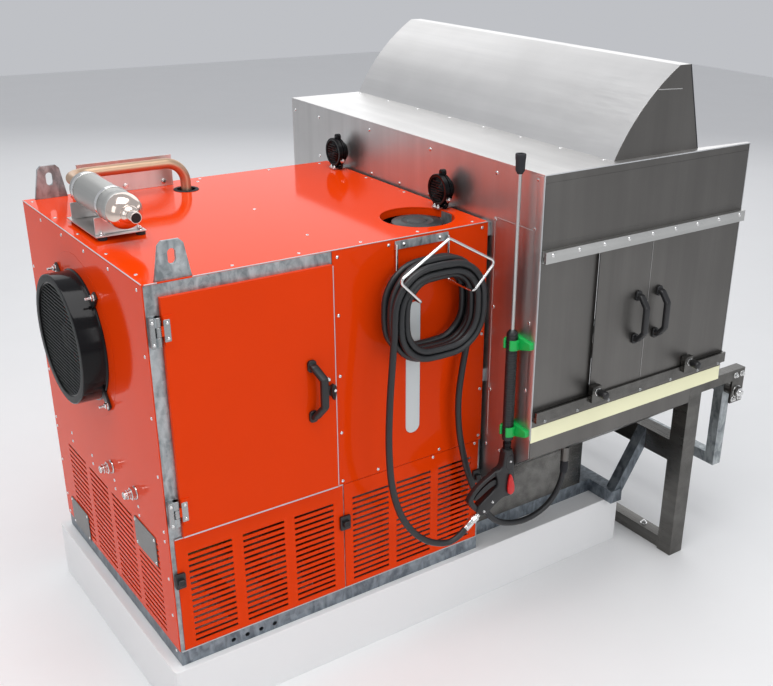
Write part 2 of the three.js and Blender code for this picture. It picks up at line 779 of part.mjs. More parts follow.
function buildEngine() {
  const bedZ = middleRailZ + postSize + deckThickness + bearerHeight + seatGap;
  const [x0, x1] = engineX;
  const y0 = shaftY - engineHalfWidth;
  const y1 = shaftY + engineHalfWidth;
  const portHalf = exhaustRadius + 6;
  const portTop = engineBlockTop - 2;
  const portBottom = engineBlockTop - 40;
  const parts = [
    box(x0, x1, y0, y1, bedZ, engineBlockTop),
    box(x0 + 50, x1 - 70, y0 + 35, y1 - 35, engineBlockTop - 10, engineTopZ),
    rod([x0 + 20, shaftY - 40, engineTopZ - 4], [x1 - 90, shaftY - 40, engineTopZ - 4], 38, 16),
    box(x1 - 60, exhaustX + portHalf, y1 - 50, y1 + 10, portBottom, portTop),
    box(exhaustX - portHalf, exhaustX + portHalf, y1 - 20, exhaustY + portHalf, portBottom, portTop),
  ];
  for (let i = 0; i < finCount; i += 1) {
    const z = engineBlockTop + 14 + i * finPitch;
    parts.push(box(x0 + 40, x1 - 60, y0 + 25, y1 - 25, z, z + 5));
  }
  addPiece('engine', join(...parts), castIron);
}

function pulley(z, radius) {
  const groove = (pulleyWidth - beltWidth) / 2;
  const near = pulleyX - engineX[1];
  const far = near + pulleyWidth;
  const rim = radius + flangeHeight;
  return turned([engineX[1] + seatGap, shaftY, z], [1, 0, 0], [
    [0, 0], [shaftRadius, 0], [shaftRadius, near], [rim, near], [rim, near + groove - 4],
    [radius, near + groove], [radius, far - groove], [rim, far - groove + 4], [rim, far], [0, far],
  ], 20);
}

// The belt's outline at one offset from the two pulley grooves, wrapped round their tangents.
function beltLoop(offset) {
  const small = drivePulleyRadius + offset;
  const large = pumpPulleyRadius + offset;
  const lean = Math.asin((large - small) / (shaftZ - pumpShaftZ));
  const loop = new THREE.Shape();
  loop.absarc(shaftY, shaftZ, small, -lean, Math.PI + lean, false);
  loop.absarc(shaftY, pumpShaftZ, large, Math.PI + lean, 2 * Math.PI - lean, false);
  return loop;
}

function buildDrive() {
  addPiece('drive_pulley', pulley(shaftZ, drivePulleyRadius), castIron);
  addPiece('pump_pulley', pulley(pumpShaftZ, pumpPulleyRadius), castIron);
  const belt = beltLoop(beltGap + beltThickness);
  belt.holes.push(beltLoop(beltGap));
  const x0 = engineX[1] + seatGap + pulleyX - engineX[1] + (pulleyWidth - beltWidth) / 2 + 1;
  addPiece('drive_belt', extrude(END, belt, x0, x0 + beltWidth - 2, 10), blackRubber);

  const pumpRight = engineX[1];
  const pumpLeft = pumpBarX[0];
  const headY = pumpHeadY.map((back) => shaftY - back);
  const crank = join(
    box(pumpLeft, pumpRight, shaftY - pumpHalfWidth, shaftY + pumpHalfWidth, skidHeight + seatGap,
      pumpShaftZ + pumpTop),
    box(pumpLeft + 6, pumpRight - 6, ...headY, pumpShaftZ - pumpHeadZ[0], pumpShaftZ + pumpHeadZ[1]),
  );
  const columns = [0, 1, 2].map((i) => pumpLeft + plungerStart + i * plungerPitch);
  const plungers = columns.map((x) => rod(
    [x, headY[0] - 15, pumpShaftZ], [x, headY[0] + 5, pumpShaftZ], plungerRadius, 12));
  const valves = columns.map((x) => rod(
    [x, shaftY - valveY, pumpShaftZ + 46], [x, shaftY - valveY, pumpShaftZ + valveTop], valveRadius, 12));
  const outletZ = pumpShaftZ - 20;
  const outlet = rod([pumpLeft - pumpOutletReach, shaftY - valveY, outletZ],
    [pumpLeft + 8, shaftY - valveY, outletZ], supplyRadius, 12);
  addPiece('pump', join(crank, ...plungers, ...valves, outlet), brass);
}

// ---------------------------------------------------------------- water tank
function buildTank() {
  const [x0, x1] = tankX;
  const y0 = tankInset;
  const y1 = cabinetDepth - tankInset;
  const c = tankCorner;
  const plan = polygon([
    [x0 + c, y0], [x1 - c, y0], [x1, y0 + c], [x1, y1 - c],
    [x1 - c, y1], [x0 + c, y1], [x0, y1 - c], [x0, y0 + c],
  ]);
  const bottom = skidHeight + seatGap;
  const rib = box(sightX - sightWidth / 2 - 8, sightX + sightWidth / 2 + 8, seatGap, y0 + 5,
    sightBottomZ - 8, sightTopZ + 8);
  addPiece('water_tank', join(
    extrude(TOP, plan, bottom, tankTopZ),
    rib,
    rod([fillerX, fillerY, tankTopZ - 5], [fillerX, fillerY, tankTopZ + neckHeight], neckRadius, 24),
  ), tankPlastic);

  const capZ = tankTopZ + neckHeight + seatGap;
  addPiece('filler_cap', join(
    rod([fillerX, fillerY, capZ], [fillerX, fillerY, capZ + capHeight], capRadius, 24),
    box(fillerX - 52, fillerX + 52, fillerY - 7, fillerY + 7, capZ + capHeight - 1, capZ + capHeight + 9),
  ), blackPlastic);
}

// ---------------------------------------------------------------- exhaust
function buildExhaust() {
  const r = silencerRadius;
  const bodyLength = silencerBackY - silencerFrontY;
  const body = turned([silencerX, silencerBackY, silencerZ], [0, -1, 0], [
    [0, 0], [r - 12, 0], [r, 12], [r, bodyLength - 3], [r + 4, bodyLength - 3], [r + 4, bodyLength + 5],
    [r - 4, bodyLength + 8], [r - 6, bodyLength + 72], [r - 22, bodyLength + 100], [15, bodyLength + 112],
    [15, bodyLength + 132], [0, bodyLength + 132],
  ], 18);
  const stubX = silencerX + r + inletStubLength;
  const stub = rod([silencerX, exhaustY, silencerZ], [stubX, exhaustY, silencerZ], exhaustRadius + 4, 16);
  addPiece('silencer', join(body, stub), zinc);

  const topZ = cabinetHeight + seatGap + skinThickness + seatGap;
  const [x0, x1] = standX;
  const [y0, y1] = standY;
  const trayZ = topZ + footHeight;
  const feet = [[x0 + 20, y0 + 12], [x1 - 12, y0 + 12], [x0 + 20, y1 - 12], [x1 - 12, y1 - 12]].map(
    ([x, y]) => rod([x, y, topZ], [x, y, trayZ + 1], footRadius, 12));
  const saddle = (y) => box(silencerX - saddleHalf, silencerX + saddleHalf, y, y + sheetGauge,
    trayZ, silencerZ - 10);
  const stand = cut(
    join(
      ...feet,
      box(x0, x1, y0, y1, trayZ, trayZ + sheetGauge),
      box(x1 - 37, x1, y1 - 1, shieldY + sheetGauge, trayZ, trayZ + sheetGauge),
      box(shieldX[0], shieldX[1], shieldY, shieldY + sheetGauge, topZ, shieldTopZ),
      box(shieldX[0], shieldX[1], shieldY, shieldY + 20, topZ, topZ + sheetGauge),
      saddle(y0 + 20), saddle(y1 - 26),
    ),
    rod([silencerX, 0, silencerZ], [silencerX, cabinetDepth, silencerZ], cornersFor(r + runningGap, 20), 20),
  );
  addPiece('silencer_stand', stand, stainless);

  const path = new THREE.CurvePath();
  const bendZ = silencerZ;
  const low = new THREE.Vector3(exhaustX, exhaustY, engineBlockTop - 2 + seatGap);
  const rise = new THREE.Vector3(exhaustX, exhaustY, bendZ - exhaustBend);
  const corner = new THREE.Vector3(exhaustX, exhaustY, bendZ);
  const over = new THREE.Vector3(exhaustX - exhaustBend, exhaustY, bendZ);
  const end = new THREE.Vector3(stubX + seatGap, exhaustY, bendZ);
  path.add(new THREE.LineCurve3(low, rise));
  path.add(new THREE.QuadraticBezierCurve3(rise, corner, over));
  path.add(new THREE.LineCurve3(over, end));
  addPiece('exhaust_pipe', tube(path, exhaustRadius, 12, 14), copperTone);
}

// ---------------------------------------------------------------- water fittings
function buildFittings() {
  for (const [name, y] of Object.entries(fittingY)) {
    addPiece(`water_${name}`, turned([6, y, fittingZ], [-1, 0, 0], [
      [0, 0], [fittingHoleRadius - 1, 0], [fittingHoleRadius - 1, 9 + skinThickness],
      [19, 9 + skinThickness], [19, 20], [14, 20], [14, 34], [16, 34], [16, 44], [9, 44], [9, 30], [0, 30],
    ], 12), brightSteel);
  }
}

// ---------------------------------------------------------------- hose, hook and coil
function buildHook() {
  const left = hookCentreX - hookLegSpacing / 2;
  const right = hookCentreX + hookLegSpacing / 2;
  const backFace = -seatGap - skinThickness - seatGap;
  const strapFront = backFace - 3;
  const legY = strapFront - hookRodRadius + 1;
  const frontY = -hookReach;
  const corners = [
    [left, legY, hookTopZ], [left, legY, hookArmZ], [left, frontY, hookArmZ],
    [hookCentreX - hookFlareWidth / 2, frontY, hookFlareZ], [hookCentreX, frontY, hookApexZ],
    [hookCentreX + hookFlareWidth / 2, frontY, hookFlareZ], [right, frontY, hookArmZ],
    [right, legY, hookArmZ], [right, legY, hookTopZ],
  ];
  const strapTop = hookTopZ + 8;
  const parts = [box(left - 3, right + 3, strapFront, backFace, strapTop - strapHeight, strapTop)];
  for (let i = 1; i < corners.length; i += 1) {
    parts.push(rod(corners[i - 1], corners[i], hookRodRadius, 6));
  }
  for (const at of corners.slice(1, -1)) {
    parts.push(solid(new THREE.SphereGeometry(hookRodRadius, 6, 4).translate(...at)));
  }
  addPiece('hose_hook', join(...parts), brightSteel);
}

// The coil is wound on a flattened loop: straight sides joined by round corners. It starts at the
// left side of its front layer, spirals in and out again through the layers, and ends at the right
// side of its back layer. turn counts loops from the start.
const loopsPerLayer = coilLoops / coilLayers;

// The height at which the innermost loop lies on the hook's two arms.
const innerRadius = coilCornerRadius - coilPitch * loopsPerLayer;
const armOffset = (hookLegSpacing - coilFlatX) / 2;
const armDistance = innerRadius - hoseDiameter / 2 - hookRodRadius - seatGap;
const coilCentreZ = hookArmZ - coilFlatZ / 2 - Math.sqrt(armDistance ** 2 - armOffset ** 2);

function coilPoint(turn, radialShift, axialShift) {
  const angle = Math.PI - 2 * Math.PI * turn;
  const cosine = Math.cos(angle);
  const sine = Math.sin(angle);
  const phase = (turn / loopsPerLayer) % 2;
  const inward = loopsPerLayer * (phase > 1 ? 2 - phase : phase);
  const radius = coilCornerRadius - coilPitch * inward + radialShift;
  let layer = 0;
  for (let i = 1; i < coilLayers; i += 1) {
    layer += THREE.MathUtils.clamp((turn - i * loopsPerLayer + 0.25) / 0.5, 0, 1);
  }
  const side = (value) => (Math.abs(value) < 1e-9 ? 0 : Math.sign(value));
  return new THREE.Vector3(
    hookCentreX + radius * cosine + side(cosine) * coilFlatX / 2,
    coilFrontY + layer * coilLayerPitch + axialShift,
    coilCentreZ + radius * sine + side(sine) * coilFlatZ / 2,
  );
}

function coilTurns() {
  const turns = [0];
  const count = Math.round(coilLoops * coilSteps);
  for (let i = 0; i < count; i += 1) turns.push((i + 0.5) / coilSteps);
  turns.push(coilLoops);
  return turns;
}

function buildCoil() {
  const turns = coilTurns();
  const vertices = [];
  const triangles = [];
  for (const turn of turns) {
    for (let s = 0; s < coilSides; s += 1) {
      const angle = 2 * Math.PI * (s + 0.5) / coilSides;
      const r = hoseDiameter / 2;
      vertices.push(...coilPoint(turn, r * Math.cos(angle), r * Math.sin(angle)).toArray());
    }
  }
  const ring = (i, s) => i * coilSides + (s % coilSides);
  for (let i = 1; i < turns.length; i += 1) {
    for (let s = 0; s < coilSides; s += 1) {
      triangles.push(ring(i - 1, s), ring(i - 1, s + 1), ring(i, s));
      triangles.push(ring(i - 1, s + 1), ring(i, s + 1), ring(i, s));
    }
  }
  for (let s = 1; s < coilSides - 1; s += 1) {
    const last = turns.length - 1;
    triangles.push(ring(0, 0), ring(0, s + 1), ring(0, s));
    triangles.push(ring(last, 0), ring(last, s), ring(last, s + 1));
  }
  const geometry = new THREE.BufferGeometry();
  geometry.setAttribute('position', new THREE.BufferAttribute(new Float32Array(vertices), 3));
  geometry.setIndex(triangles);
  let coil = solid(geometry);
  if (coil.volume() < 0) coil = solid(flipped(geometry));
  addPiece('hose_coil', coil, blackRubber);
}

// The coil's least gap to itself, on points of its centreline more than half a loop apart.
function coilSelfGap() {
  const samples = Array.from({ length: Math.round(coilLoops * 96) + 1 }, (_, i) => i / 96);
  const line = samples.map((turn) => coilPoint(turn, 0, 0));
  let least = Infinity;
  for (let i = 0; i < line.length; i += 1) {
    for (let j = i + 48; j < line.length; j += 1) {
      least = Math.min(least, line[i].distanceTo(line[j]));
    }
  }
  return least - hoseDiameter;
}

// A point of the gun's outlines, on the machine.
const onGun = ([u, v]) => [lanceX + u, lanceBottomZ + v];
const handleEnd = onGun(gunHandleEnd);
const couplingStart = [handleEnd[0], lanceY, handleEnd[1]];
const couplingAxis = [-0.8, 0, -0.6];
const couplingReach = couplingLength + 2 * seatGap;
const couplingTip = couplingStart.map((value, i) => value + couplingAxis[i] * couplingReach);

function buildHoses() {
  const coilStart = coilPoint(0, 0, 0);
  const coilEnd = coilPoint(coilLoops, 0, 0);
  const straight = hoseDiameter + 6;
  const toGun = [
    [coilStart.x, coilStart.y, coilStart.z - seatGap],
    [coilStart.x, coilStart.y, coilStart.z - straight],
    ...gunRun.map(([u, y, z]) => [hookCentreX + u, y, z]),
    couplingTip.map((value, i) => value + couplingAxis[i] * straight),
    couplingTip,
  ];
  const supply = [
    [coilEnd.x, coilEnd.y, coilEnd.z - seatGap],
    [coilEnd.x, coilEnd.y, coilEnd.z - straight],
    ...supplyRun.map(([u, y, z]) => [supplyX + u, y, z]),
    [supplyX, supplyY, supplyZ - straight],
    [supplyX, supplyY, supplyZ - seatGap],
  ];
  const curve = (points) => new THREE.CatmullRomCurve3(
    points.map((p) => new THREE.Vector3(...p)), false, 'centripetal');
  addPiece('hose_to_gun', tube(curve(toGun), hoseDiameter / 2, 8, 22), blackRubber);
  addPiece('hose_supply', tube(curve(supply), hoseDiameter / 2, 8, 30), blackRubber);
}

// ---------------------------------------------------------------- gun and lance
function buildGun() {
  const y0 = lanceY - gunThickness / 2;
  const y1 = lanceY + gunThickness / 2;
  const t0 = lanceY - triggerThickness / 2;
  const t1 = lanceY + triggerThickness / 2;
  const outline = polygon(gunOutline.map(onGun));
  outline.holes.push(polygon(gunWindow.map(onGun)));
  const [slotLeft, slotRight, slotLow, slotHigh] = gunTriggerSlot;
  const [catchX, catchZ] = onGun(catchPivot);
  addPiece('gun_body', cut(
    extrude(FRONT, outline, y0, y1),
    box(lanceX + slotLeft, lanceX + slotRight, t0 - runningGap, t1 + runningGap,
      lanceBottomZ + slotLow, lanceBottomZ + slotHigh),
    rod([catchX, y0 - 1, catchZ], [catchX, y0 + 6, catchZ], catchPinRadius + runningGap, 10),
  ), blackPlastic);

  const [rootX, rootZ] = onGun(triggerPivot);
  addPiece('gun_trigger', join(
    extrude(FRONT, polygon(triggerOutline.map(onGun)), t0, t1),
    rod([rootX, t0, rootZ], [rootX, t1, rootZ], triggerBossRadius, 14),
  ), blackPlastic);

  addPiece('gun_catch', join(
    extrude(FRONT, polygon(catchOutline.map(onGun)), y0 - catchDepth, y0 - seatGap),
    rod([catchX, y0 - 2, catchZ], [catchX, y0 + 5, catchZ], catchPinRadius, 10),
  ), redPlastic);

  addPiece('hose_coupling', turned(
    couplingStart.map((value, i) => value + couplingAxis[i] * seatGap), couplingAxis, [
      [0, 0], [9, 0], [9, 8], [12, 8], [12, 26], [10, 28], [10, 34], [13, 34], [13, couplingLength - 6],
      [10, couplingLength], [0, couplingLength],
    ], 12), brightSteel);

  const end = lanceEndRadius;
  addPiece('lance', turned([lanceX, lanceY, 0], [0, 0, 1], [
    [0, lanceBottomZ], [end, lanceBottomZ], [end, gripBottomZ - 8], [10, gripBottomZ - 4],
    [gripRadius, gripBottomZ], [gripRadius, gripTopZ - 14], [gripRadius - 7, gripTopZ],
    [lancePipeRadius, gripTopZ], [lancePipeRadius, lanceTopZ - 52], [end, lanceTopZ - 46],
    [end + 2, lanceTopZ - 8], [end - 1, lanceTopZ], [0, lanceTopZ],
  ], 12), blackPlastic);

  for (const [level, z] of Object.entries(clipZ)) {
    const inner = gripRadius + seatGap;
    const outer = inner + clipWall;
    const wall = leftWallX - seatGap;
    const z0 = z - clipHeight / 2;
    const z1 = z + clipHeight / 2;
    const mouth = [lanceX - outer - 1, lanceX - inner / 2, lanceY - outer, lanceY + outer];
    const ring = cut(
      join(
        extrude(TOP, circle(lanceX, lanceY, outer), z0, z1, 10),
        box(lanceX + gripRadius, wall, lanceY - clipArm, lanceY + clipArm, z0, z1),
      ),
      extrude(TOP, circle(lanceX, lanceY, inner), z0 - 1, z1 + 1, 10),
      box(...mouth, z0 - 1, z1 + 1),
    );
    addPiece(`lance_clip_${level}`, ring, greenPlastic);
  }
}

// ---------------------------------------------------------------- work lamps
function buildLamps() {
  for (const [place, y] of Object.entries(lampY)) {
    const x = leftWallX - lampReach;
    const r = lampRadius;
    const housing = turned([x - lampDepth / 2, y, lampZ], [1, 0, 0], [
      [0, 3], [r - 10, 3], [r - 8, 0], [r, 0], [r, 14], [r - 4, 16], [r - 4, 22], [r, 24], [r, 30],
      [r - 14, lampDepth], [0, lampDepth],
    ], 16);
    const tab = box(x - 10, x + 8, y - 9, y + 9, lampZ + r - 8, lampZ + r + 12);
    const stem = rod([x, y, lampBracketZ + seatGap], [x, y, lampZ - r + 8], lampStemRadius, 12);
    addPiece(`work_lamp_${place}`, join(housing, tab, stem), blackRubber);
  }
}

const lampBracketZ = cabinetHeight + 2 * seatGap + skinThickness + 1 + lampPlate;

// ---------------------------------------------------------------- wash chamber walls
function buildChamberWalls() {
  const g = wallGauge;
  const panSide = (inset) => [
    [chamberFront + inset, panBandZ], [railInset, panFloorZ], [cabinetDepth - railInset, panFloorZ],
    [chamberBack - inset, panBandZ],
  ];
  const wallOutline = polygon([
    ...panSide(g + seatGap),
    [chamberBack - g - seatGap, chamberTopZ], [chamberFront + g + seatGap, chamberTopZ],
  ]);
  const bracketLeft = leftWallX - lampReach - lampBracketHalf[0];
  const brackets = Object.values(lampY).map((y) => box(
    bracketLeft, leftWallX + 1, y - lampBracketHalf[1], y + lampBracketHalf[1],
    lampBracketZ - lampPlate, lampBracketZ));
  const wall = extrude(END, wallOutline, leftWallX, leftWallX + g);
  addPiece('chamber_left_wall', join(wall, ...brackets), stainless);

  addPiece('chamber_back_wall', box(leftWallX, chamberRight, chamberBack - g, chamberBack,
    chamberBottomZ, chamberTopZ), stainless);

  const front = rectangle(leftWallX, chamberRight, chamberBottomZ, chamberTopZ);
  front.holes.push(rectangle(doorwayX[0], doorwayX[1], doorwayZ[0], doorwayZ[1]));
  addPiece('chamber_front_wall', extrude(FRONT, front, chamberFront, chamberFront + g), stainless);
}

// The hood's side profile grown inward by an offset; the arc runs from its left foot to the ridge.
function hoodProfile(offset, baseZ, rightX, topRightX) {
  const foot = new THREE.Vector2(hoodLeft, chamberTopZ);
  const ridge = new THREE.Vector2(hoodRidge[0], hoodTopZ);
  const middle = foot.clone().add(ridge).multiplyScalar(0.5);
  const chord = ridge.clone().sub(foot);
  const drop = Math.sqrt(hoodArcRadius ** 2 - chord.lengthSq() / 4);
  const toCentre = new THREE.Vector2(chord.y, -chord.x).normalize().multiplyScalar(drop);
  const centre = middle.add(toCentre);
  const radius = hoodArcRadius - offset;
  const startAngle = Math.PI - Math.asin((baseZ - centre.y) / radius);
  const endAngle = Math.PI - Math.asin((hoodTopZ - offset - centre.y) / radius);
  const profile = new THREE.Shape();
  profile.absarc(centre.x, centre.y, radius, startAngle, endAngle, true);
  profile.lineTo(topRightX, hoodTopZ - offset);
  profile.lineTo(rightX, baseZ);
  return profile;
}

function buildHood() {
  const g = wallGauge;
  const roofZ = chamberTopZ + seatGap;
  const backEdge = chamberBack - roofFlange;
  const roof = polygon([
    [leftWallX, chamberFront], [chamberRight, chamberFront], [chamberRight, chamberFront + roofFlange],
    [hoodRight, hoodFront + g], [hoodLeft + g, hoodFront + g], [hoodLeft + g, backEdge],
    [chamberRight, backEdge], [chamberRight, chamberBack], [leftWallX, chamberBack],
  ]);
  const plate = extrude(TOP, roof, roofZ, roofZ + g);
  const outer = extrude(FRONT, hoodProfile(0, roofZ, hoodRight, hoodRidge[1]), hoodFront, chamberBack, 10);
  const hollow = extrude(FRONT, hoodProfile(g, roofZ - 5, hoodRight + 90, hoodRight + 90),
    hoodFront + g, chamberBack - g, 10);
  addPiece('chamber_roof', join(plate, cut(outer, hollow)), stainless);
}

// ---------------------------------------------------------------- sliding doors
const leafBackY = chamberFront - leafStandoff + 1;
const leafFrontY = leafBackY - wallGauge;
const railBackFace = chamberFront - seatGap;
const leafCentreY = (leafBackY + leafFrontY) / 2;

function buildSlidingDoors() {
  const y0 = railBackFace - railDepth;
  const groove0 = leafCentreY - grooveWidth / 2;
  const groove1 = leafCentreY + grooveWidth / 2;
  const upperZ = leafTopZ + runningGap;
  const lowerZ = leafBottomZ - seatGap;
  const lipZ = upperZ - railOverlap;
  const upper = polygon([
    [y0, lipZ], [groove0, lipZ], [groove0, upperZ], [groove1, upperZ], [groove1, lipZ],
    [railBackFace, lipZ], [railBackFace, lipZ + railHeight], [y0, lipZ + railHeight],
  ]);
  const sillZ = lowerZ + railOverlap;
  const lower = polygon([
    [y0, sillZ - railHeight], [railBackFace, sillZ - railHeight], [railBackFace, sillZ],
    [groove1, sillZ], [groove1, lowerZ], [groove0, lowerZ], [groove0, sillZ], [y0, sillZ],
  ]);
  const railX0 = leftWallX + 5;
  const railX1 = chamberRight - 2;
  addPiece('upper_rail', extrude(END, upper, railX0, railX1), aluminium);

  const pins = { left: centreSeamX - pinOffset, right: centreSeamX + pinOffset };
  let lowerRail = extrude(END, lower, railX0, railX1);
  const blockFront = y0 - pinBlockDepth;
  const neckFront = blockFront - pinNeckLength;
  for (const x of Object.values(pins)) {
    lowerRail = cut(
      join(
        lowerRail,
        box(x - pinBlockHalf, x + pinBlockHalf, blockFront, groove0 - 2, lowerZ, pinZ + pinBlockHalf - 2),
        rod([x, neckFront, pinZ], [x, blockFront + 1, pinZ], pinNeckRadius, 12),
      ),
      rod([x, neckFront - 1, pinZ], [x, groove0, pinZ], pinRadius + runningGap, 10),
    );
  }
  addPiece('lower_rail', lowerRail, aluminium);

  // At rest each pin's nose stands just clear of the hole in its leaf; the knob pulls it further out.
  const knobBack = neckFront - seatGap;
  for (const [name, x] of Object.entries(pins)) {
    addPiece(`lock_pin_${name}`, join(
      rod([x, knobBack - knobLength, pinZ], [x, knobBack, pinZ], knobRadius, 14),
      rod([x, knobBack - 2, pinZ], [x, leafFrontY - runningGap, pinZ], pinRadius, 10),
    ), blackPlastic);
  }

  for (const [name, direction] of [['left', -1], ['right', 1]]) {
    const inner = centreSeamX + direction * seamGap / 2;
    const outer = inner + direction * leafWidth;
    const x0 = Math.min(inner, outer);
    const x1 = Math.max(inner, outer);
    const pinX = pins[name];
    const leaf = cut(
      box(x0, x1, leafFrontY, leafBackY, leafBottomZ, leafTopZ),
      rod([pinX, leafFrontY - 1, pinZ], [pinX, leafBackY + 1, pinZ], pinRadius + runningGap, 10),
    );
    const handleX = centreSeamX + direction * leafHandleOffset;
    const handle = bowHandle(handleX, leafFrontY + 1, leafHandleZ);
    addPiece(`slide_door_${name}`, join(leaf, handle), stainless);
  }
}

// ---------------------------------------------------------------- pan, waste tank and spray gear
function buildPan() {
  const g = wallGauge;
  const top = chamberBottomZ - seatGap;
  const frontFlat = railInset;
  const backFlat = cabinetDepth - railInset;
  const profile = polygon([
    [chamberFront, top], [chamberFront, panBandZ], [frontFlat, panFloorZ], [backFlat, panFloorZ],
    [chamberBack, panBandZ], [chamberBack, top], [chamberBack - g, top], [chamberBack - g, panBandZ + g],
    [backFlat, panFloorZ + g], [frontFlat, panFloorZ + g],
    [chamberFront + g, panBandZ + g], [chamberFront + g, top],
  ]);
  const x0 = leftWallX + g + seatGap;
  const middleY = cabinetDepth / 2;
  const throughFloor = (x, radius) => rod(
    [x, middleY, panFloorZ - 1], [x, middleY, panFloorZ + g + 1], radius, 16);
  const pan = cut(
    join(
      extrude(END, profile, x0, legX - seatGap),
      rod([supplyX, supplyY, supplyZ], [supplyX, supplyY, supplyZ + supplyStub], supplyRadius, 12),
    ),
    throughFloor(drainX, drainRadius),
    throughFloor(sprayX, sprayPipeRadius + runningGap),
  );
  addPiece('chamber_pan', pan, stainless);

  const sumpTop = panFloorZ - seatGap;
  const sumpBottom = skidHeight + seatGap;
  addPiece('sump_tank', cut(
    box(x0, sumpEndX, railInset, cabinetDepth - railInset, sumpBottom, sumpTop),
    box(x0 + g, sumpEndX - g, railInset + g, cabinetDepth - railInset - g, sumpBottom + g, sumpTop + 1),
  ), stainless);
}

function buildSprayGear() {
  const middleY = cabinetDepth / 2;
  const floorZ = panFloorZ + wallGauge + seatGap;
  const ends = [sprayY.front, sprayY.rear];
  const pipeFront = [sprayX, ends[0] - sprayPipeEnd, sprayPipeZ];
  const pipeBack = [sprayX, ends[1] + sprayPipeEnd, sprayPipeZ];
  const dropFoot = [sprayX, middleY, panFloorZ - sprayDrop];
  const [saddleX, saddleY] = saddleSize;
  addPiece('spray_pipe', join(
    rod(pipeFront, pipeBack, sprayPipeRadius, 12),
    rod(dropFoot, [sprayX, middleY, sprayPipeZ], sprayPipeRadius, 12),
    ...ends.map((y) => rod([sprayX, y, sprayPipeZ], [sprayX, y, riserTopZ], riserRadius, 12)),
    ...ends.map((y) => box(sprayX - saddleX, sprayX + saddleX, y - saddleY, y + saddleY,
      floorZ, sprayPipeZ)),
  ), brightSteel);

  for (const [place, y] of Object.entries(sprayY)) {
    const hubZ = riserTopZ + seatGap;
    const arms = [-1, 1].map((side) => join(
      rod([sprayX, y, hubZ + 20], [sprayX + side * sprayArm, y, hubZ + 20], 6, 10),
      rod([sprayX + side * sprayArm, y, hubZ + 14], [sprayX + side * (sprayArm + 10), y, hubZ + 42], 8, 10),
    ));
    addPiece(`spray_head_${place}`, join(
      rod([sprayX, y, hubZ], [sprayX, y, hubZ + sprayHubHeight], sprayHubRadius, 16),
      ...arms,
    ), brightSteel);
  }
}

// ---------------------------------------------------------------- chamber frame and bin lifter
const armTopZ = chamberBottomZ - seatGap;
const lifterPostY = [chamberFront + armSize + armGap, chamberBack - 2 * armSize - armGap];

function buildChamberFrame() {
  const x1 = legX + legSize;
  const legs = [chamberFront, chamberBack - legSize];
  const railX0 = legX + (legSize - footRailSize) / 2;
  const beam = (x0, x2, z0, z1) => box(x0, x2, chamberFront + 1, chamberBack - 1, z0, z1);
  const parts = [
    ...legs.map((y) => box(legX, x1, y, y + legSize, legBottomZ, armTopZ)),
    beam(railX0, railX0 + footRailSize, legBottomZ, legBottomZ + footRailSize),
    beam(legX, x1, ...crossBeamZ),
    beam(legX, x1, ...topBeamZ),
  ];
  const [plateWidth, plateHeight] = pivotPlateSize;
  for (const side of [-1, 1]) {
    const outer = side < 0 ? chamberFront : chamberBack;
    const span = (from, to) => [outer - side * from, outer - side * to].sort((a, b) => a - b);
    const along = (from, to, radius) => rod([pivotX, outer - side * from, pivotZ],
      [pivotX, outer - side * to, pivotZ], radius, 14);
    const plateX = [pivotX - plateWidth / 2, pivotX + plateWidth / 2];
    parts.push(
      box(x1 - 1, plateX[1], ...span(0, armSize), armTopZ - armSize, armTopZ),
      box(...plateX, ...span(0, pivotPlate), armTopZ - plateHeight, armTopZ),
      along(-8, pivotPlate, pivotRadius + 7),
      along(0, armSize, pivotRadius + 9),
      along(0, 2 * armSize + armGap - 8, pivotRadius),
    );
  }
  addPiece('chamber_frame', join(...parts), stainless);
}

function buildLifter() {
  const [frontY, backY] = lifterPostY;
  const x0 = pivotX - armSize / 2;
  const x1 = pivotX + armSize / 2;
  const topZ = pivotZ + armSize / 2;
  const parts = [
    ...lifterPostY.map((y) => box(x0, x1, y, y + armSize, lifterBottomZ, topZ)),
    box(x0, x1, frontY, backY + armSize, lifterBottomZ, lifterBottomZ + armSize),
    box(x0, x1, frontY, backY + armSize, topZ - armSize, topZ),
  ];
  const bores = [[frontY - 1, frontY + armSize - 4], [backY + 4, backY + armSize + 1]].map(
    ([y0, y1]) => rod([pivotX, y0, pivotZ], [pivotX, y1, pivotZ], pivotRadius + runningGap, 14));
  addPiece('lifter_frame', cut(join(...parts), ...bores), zinc);

  const rootZ = topZ + 6;
  const tooth = (combY[1] - combY[0]) / combTeeth;
  const outline = [[combY[0], topZ - armSize], [combY[1], topZ - armSize], [combY[1], rootZ]];
  for (let i = combTeeth; i > 0; i -= 1) {
    const y = combY[0] + i * tooth;
    outline.push([y - tooth * 0.15, rootZ], [y - tooth * 0.3, rootZ + combToothHeight],
      [y - tooth * 0.7, rootZ + combToothHeight], [y - tooth * 0.85, rootZ]);
  }
  outline.push([combY[0], rootZ]);
  addPiece('comb_bar', extrude(END, polygon(outline), x1 + seatGap, x1 + seatGap + combPlate), zinc);
}

buildSkid();
buildCabinetFrame();
buildSkins();
buildDoor();
buildCooling();
buildEngine();
buildDrive();
buildTank();
buildExhaust();
buildFittings();
buildHook();
buildCoil();
buildHoses();
buildGun();
buildLamps();
buildChamberWalls();
buildHood();
buildSlidingDoors();
buildPan();
buildSprayGear();
buildChamberFrame();
buildLifter();
console.log(`least gap of the hose coil to itself: ${coilSelfGap().toFixed(2)} mm`);

export default root;
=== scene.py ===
"""Dressed model of a commercial bin washer: high-pressure cabinet and wash chamber.

Every new piece is worked out with numpy in millimetres of the machine (x along
the cabinet's front, y towards its back, z up, origin at the cabinet's lower
front left corner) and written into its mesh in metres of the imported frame.
"""
import json
import logging
import math
from dataclasses import dataclass
from enum import Enum
from typing import Sequence

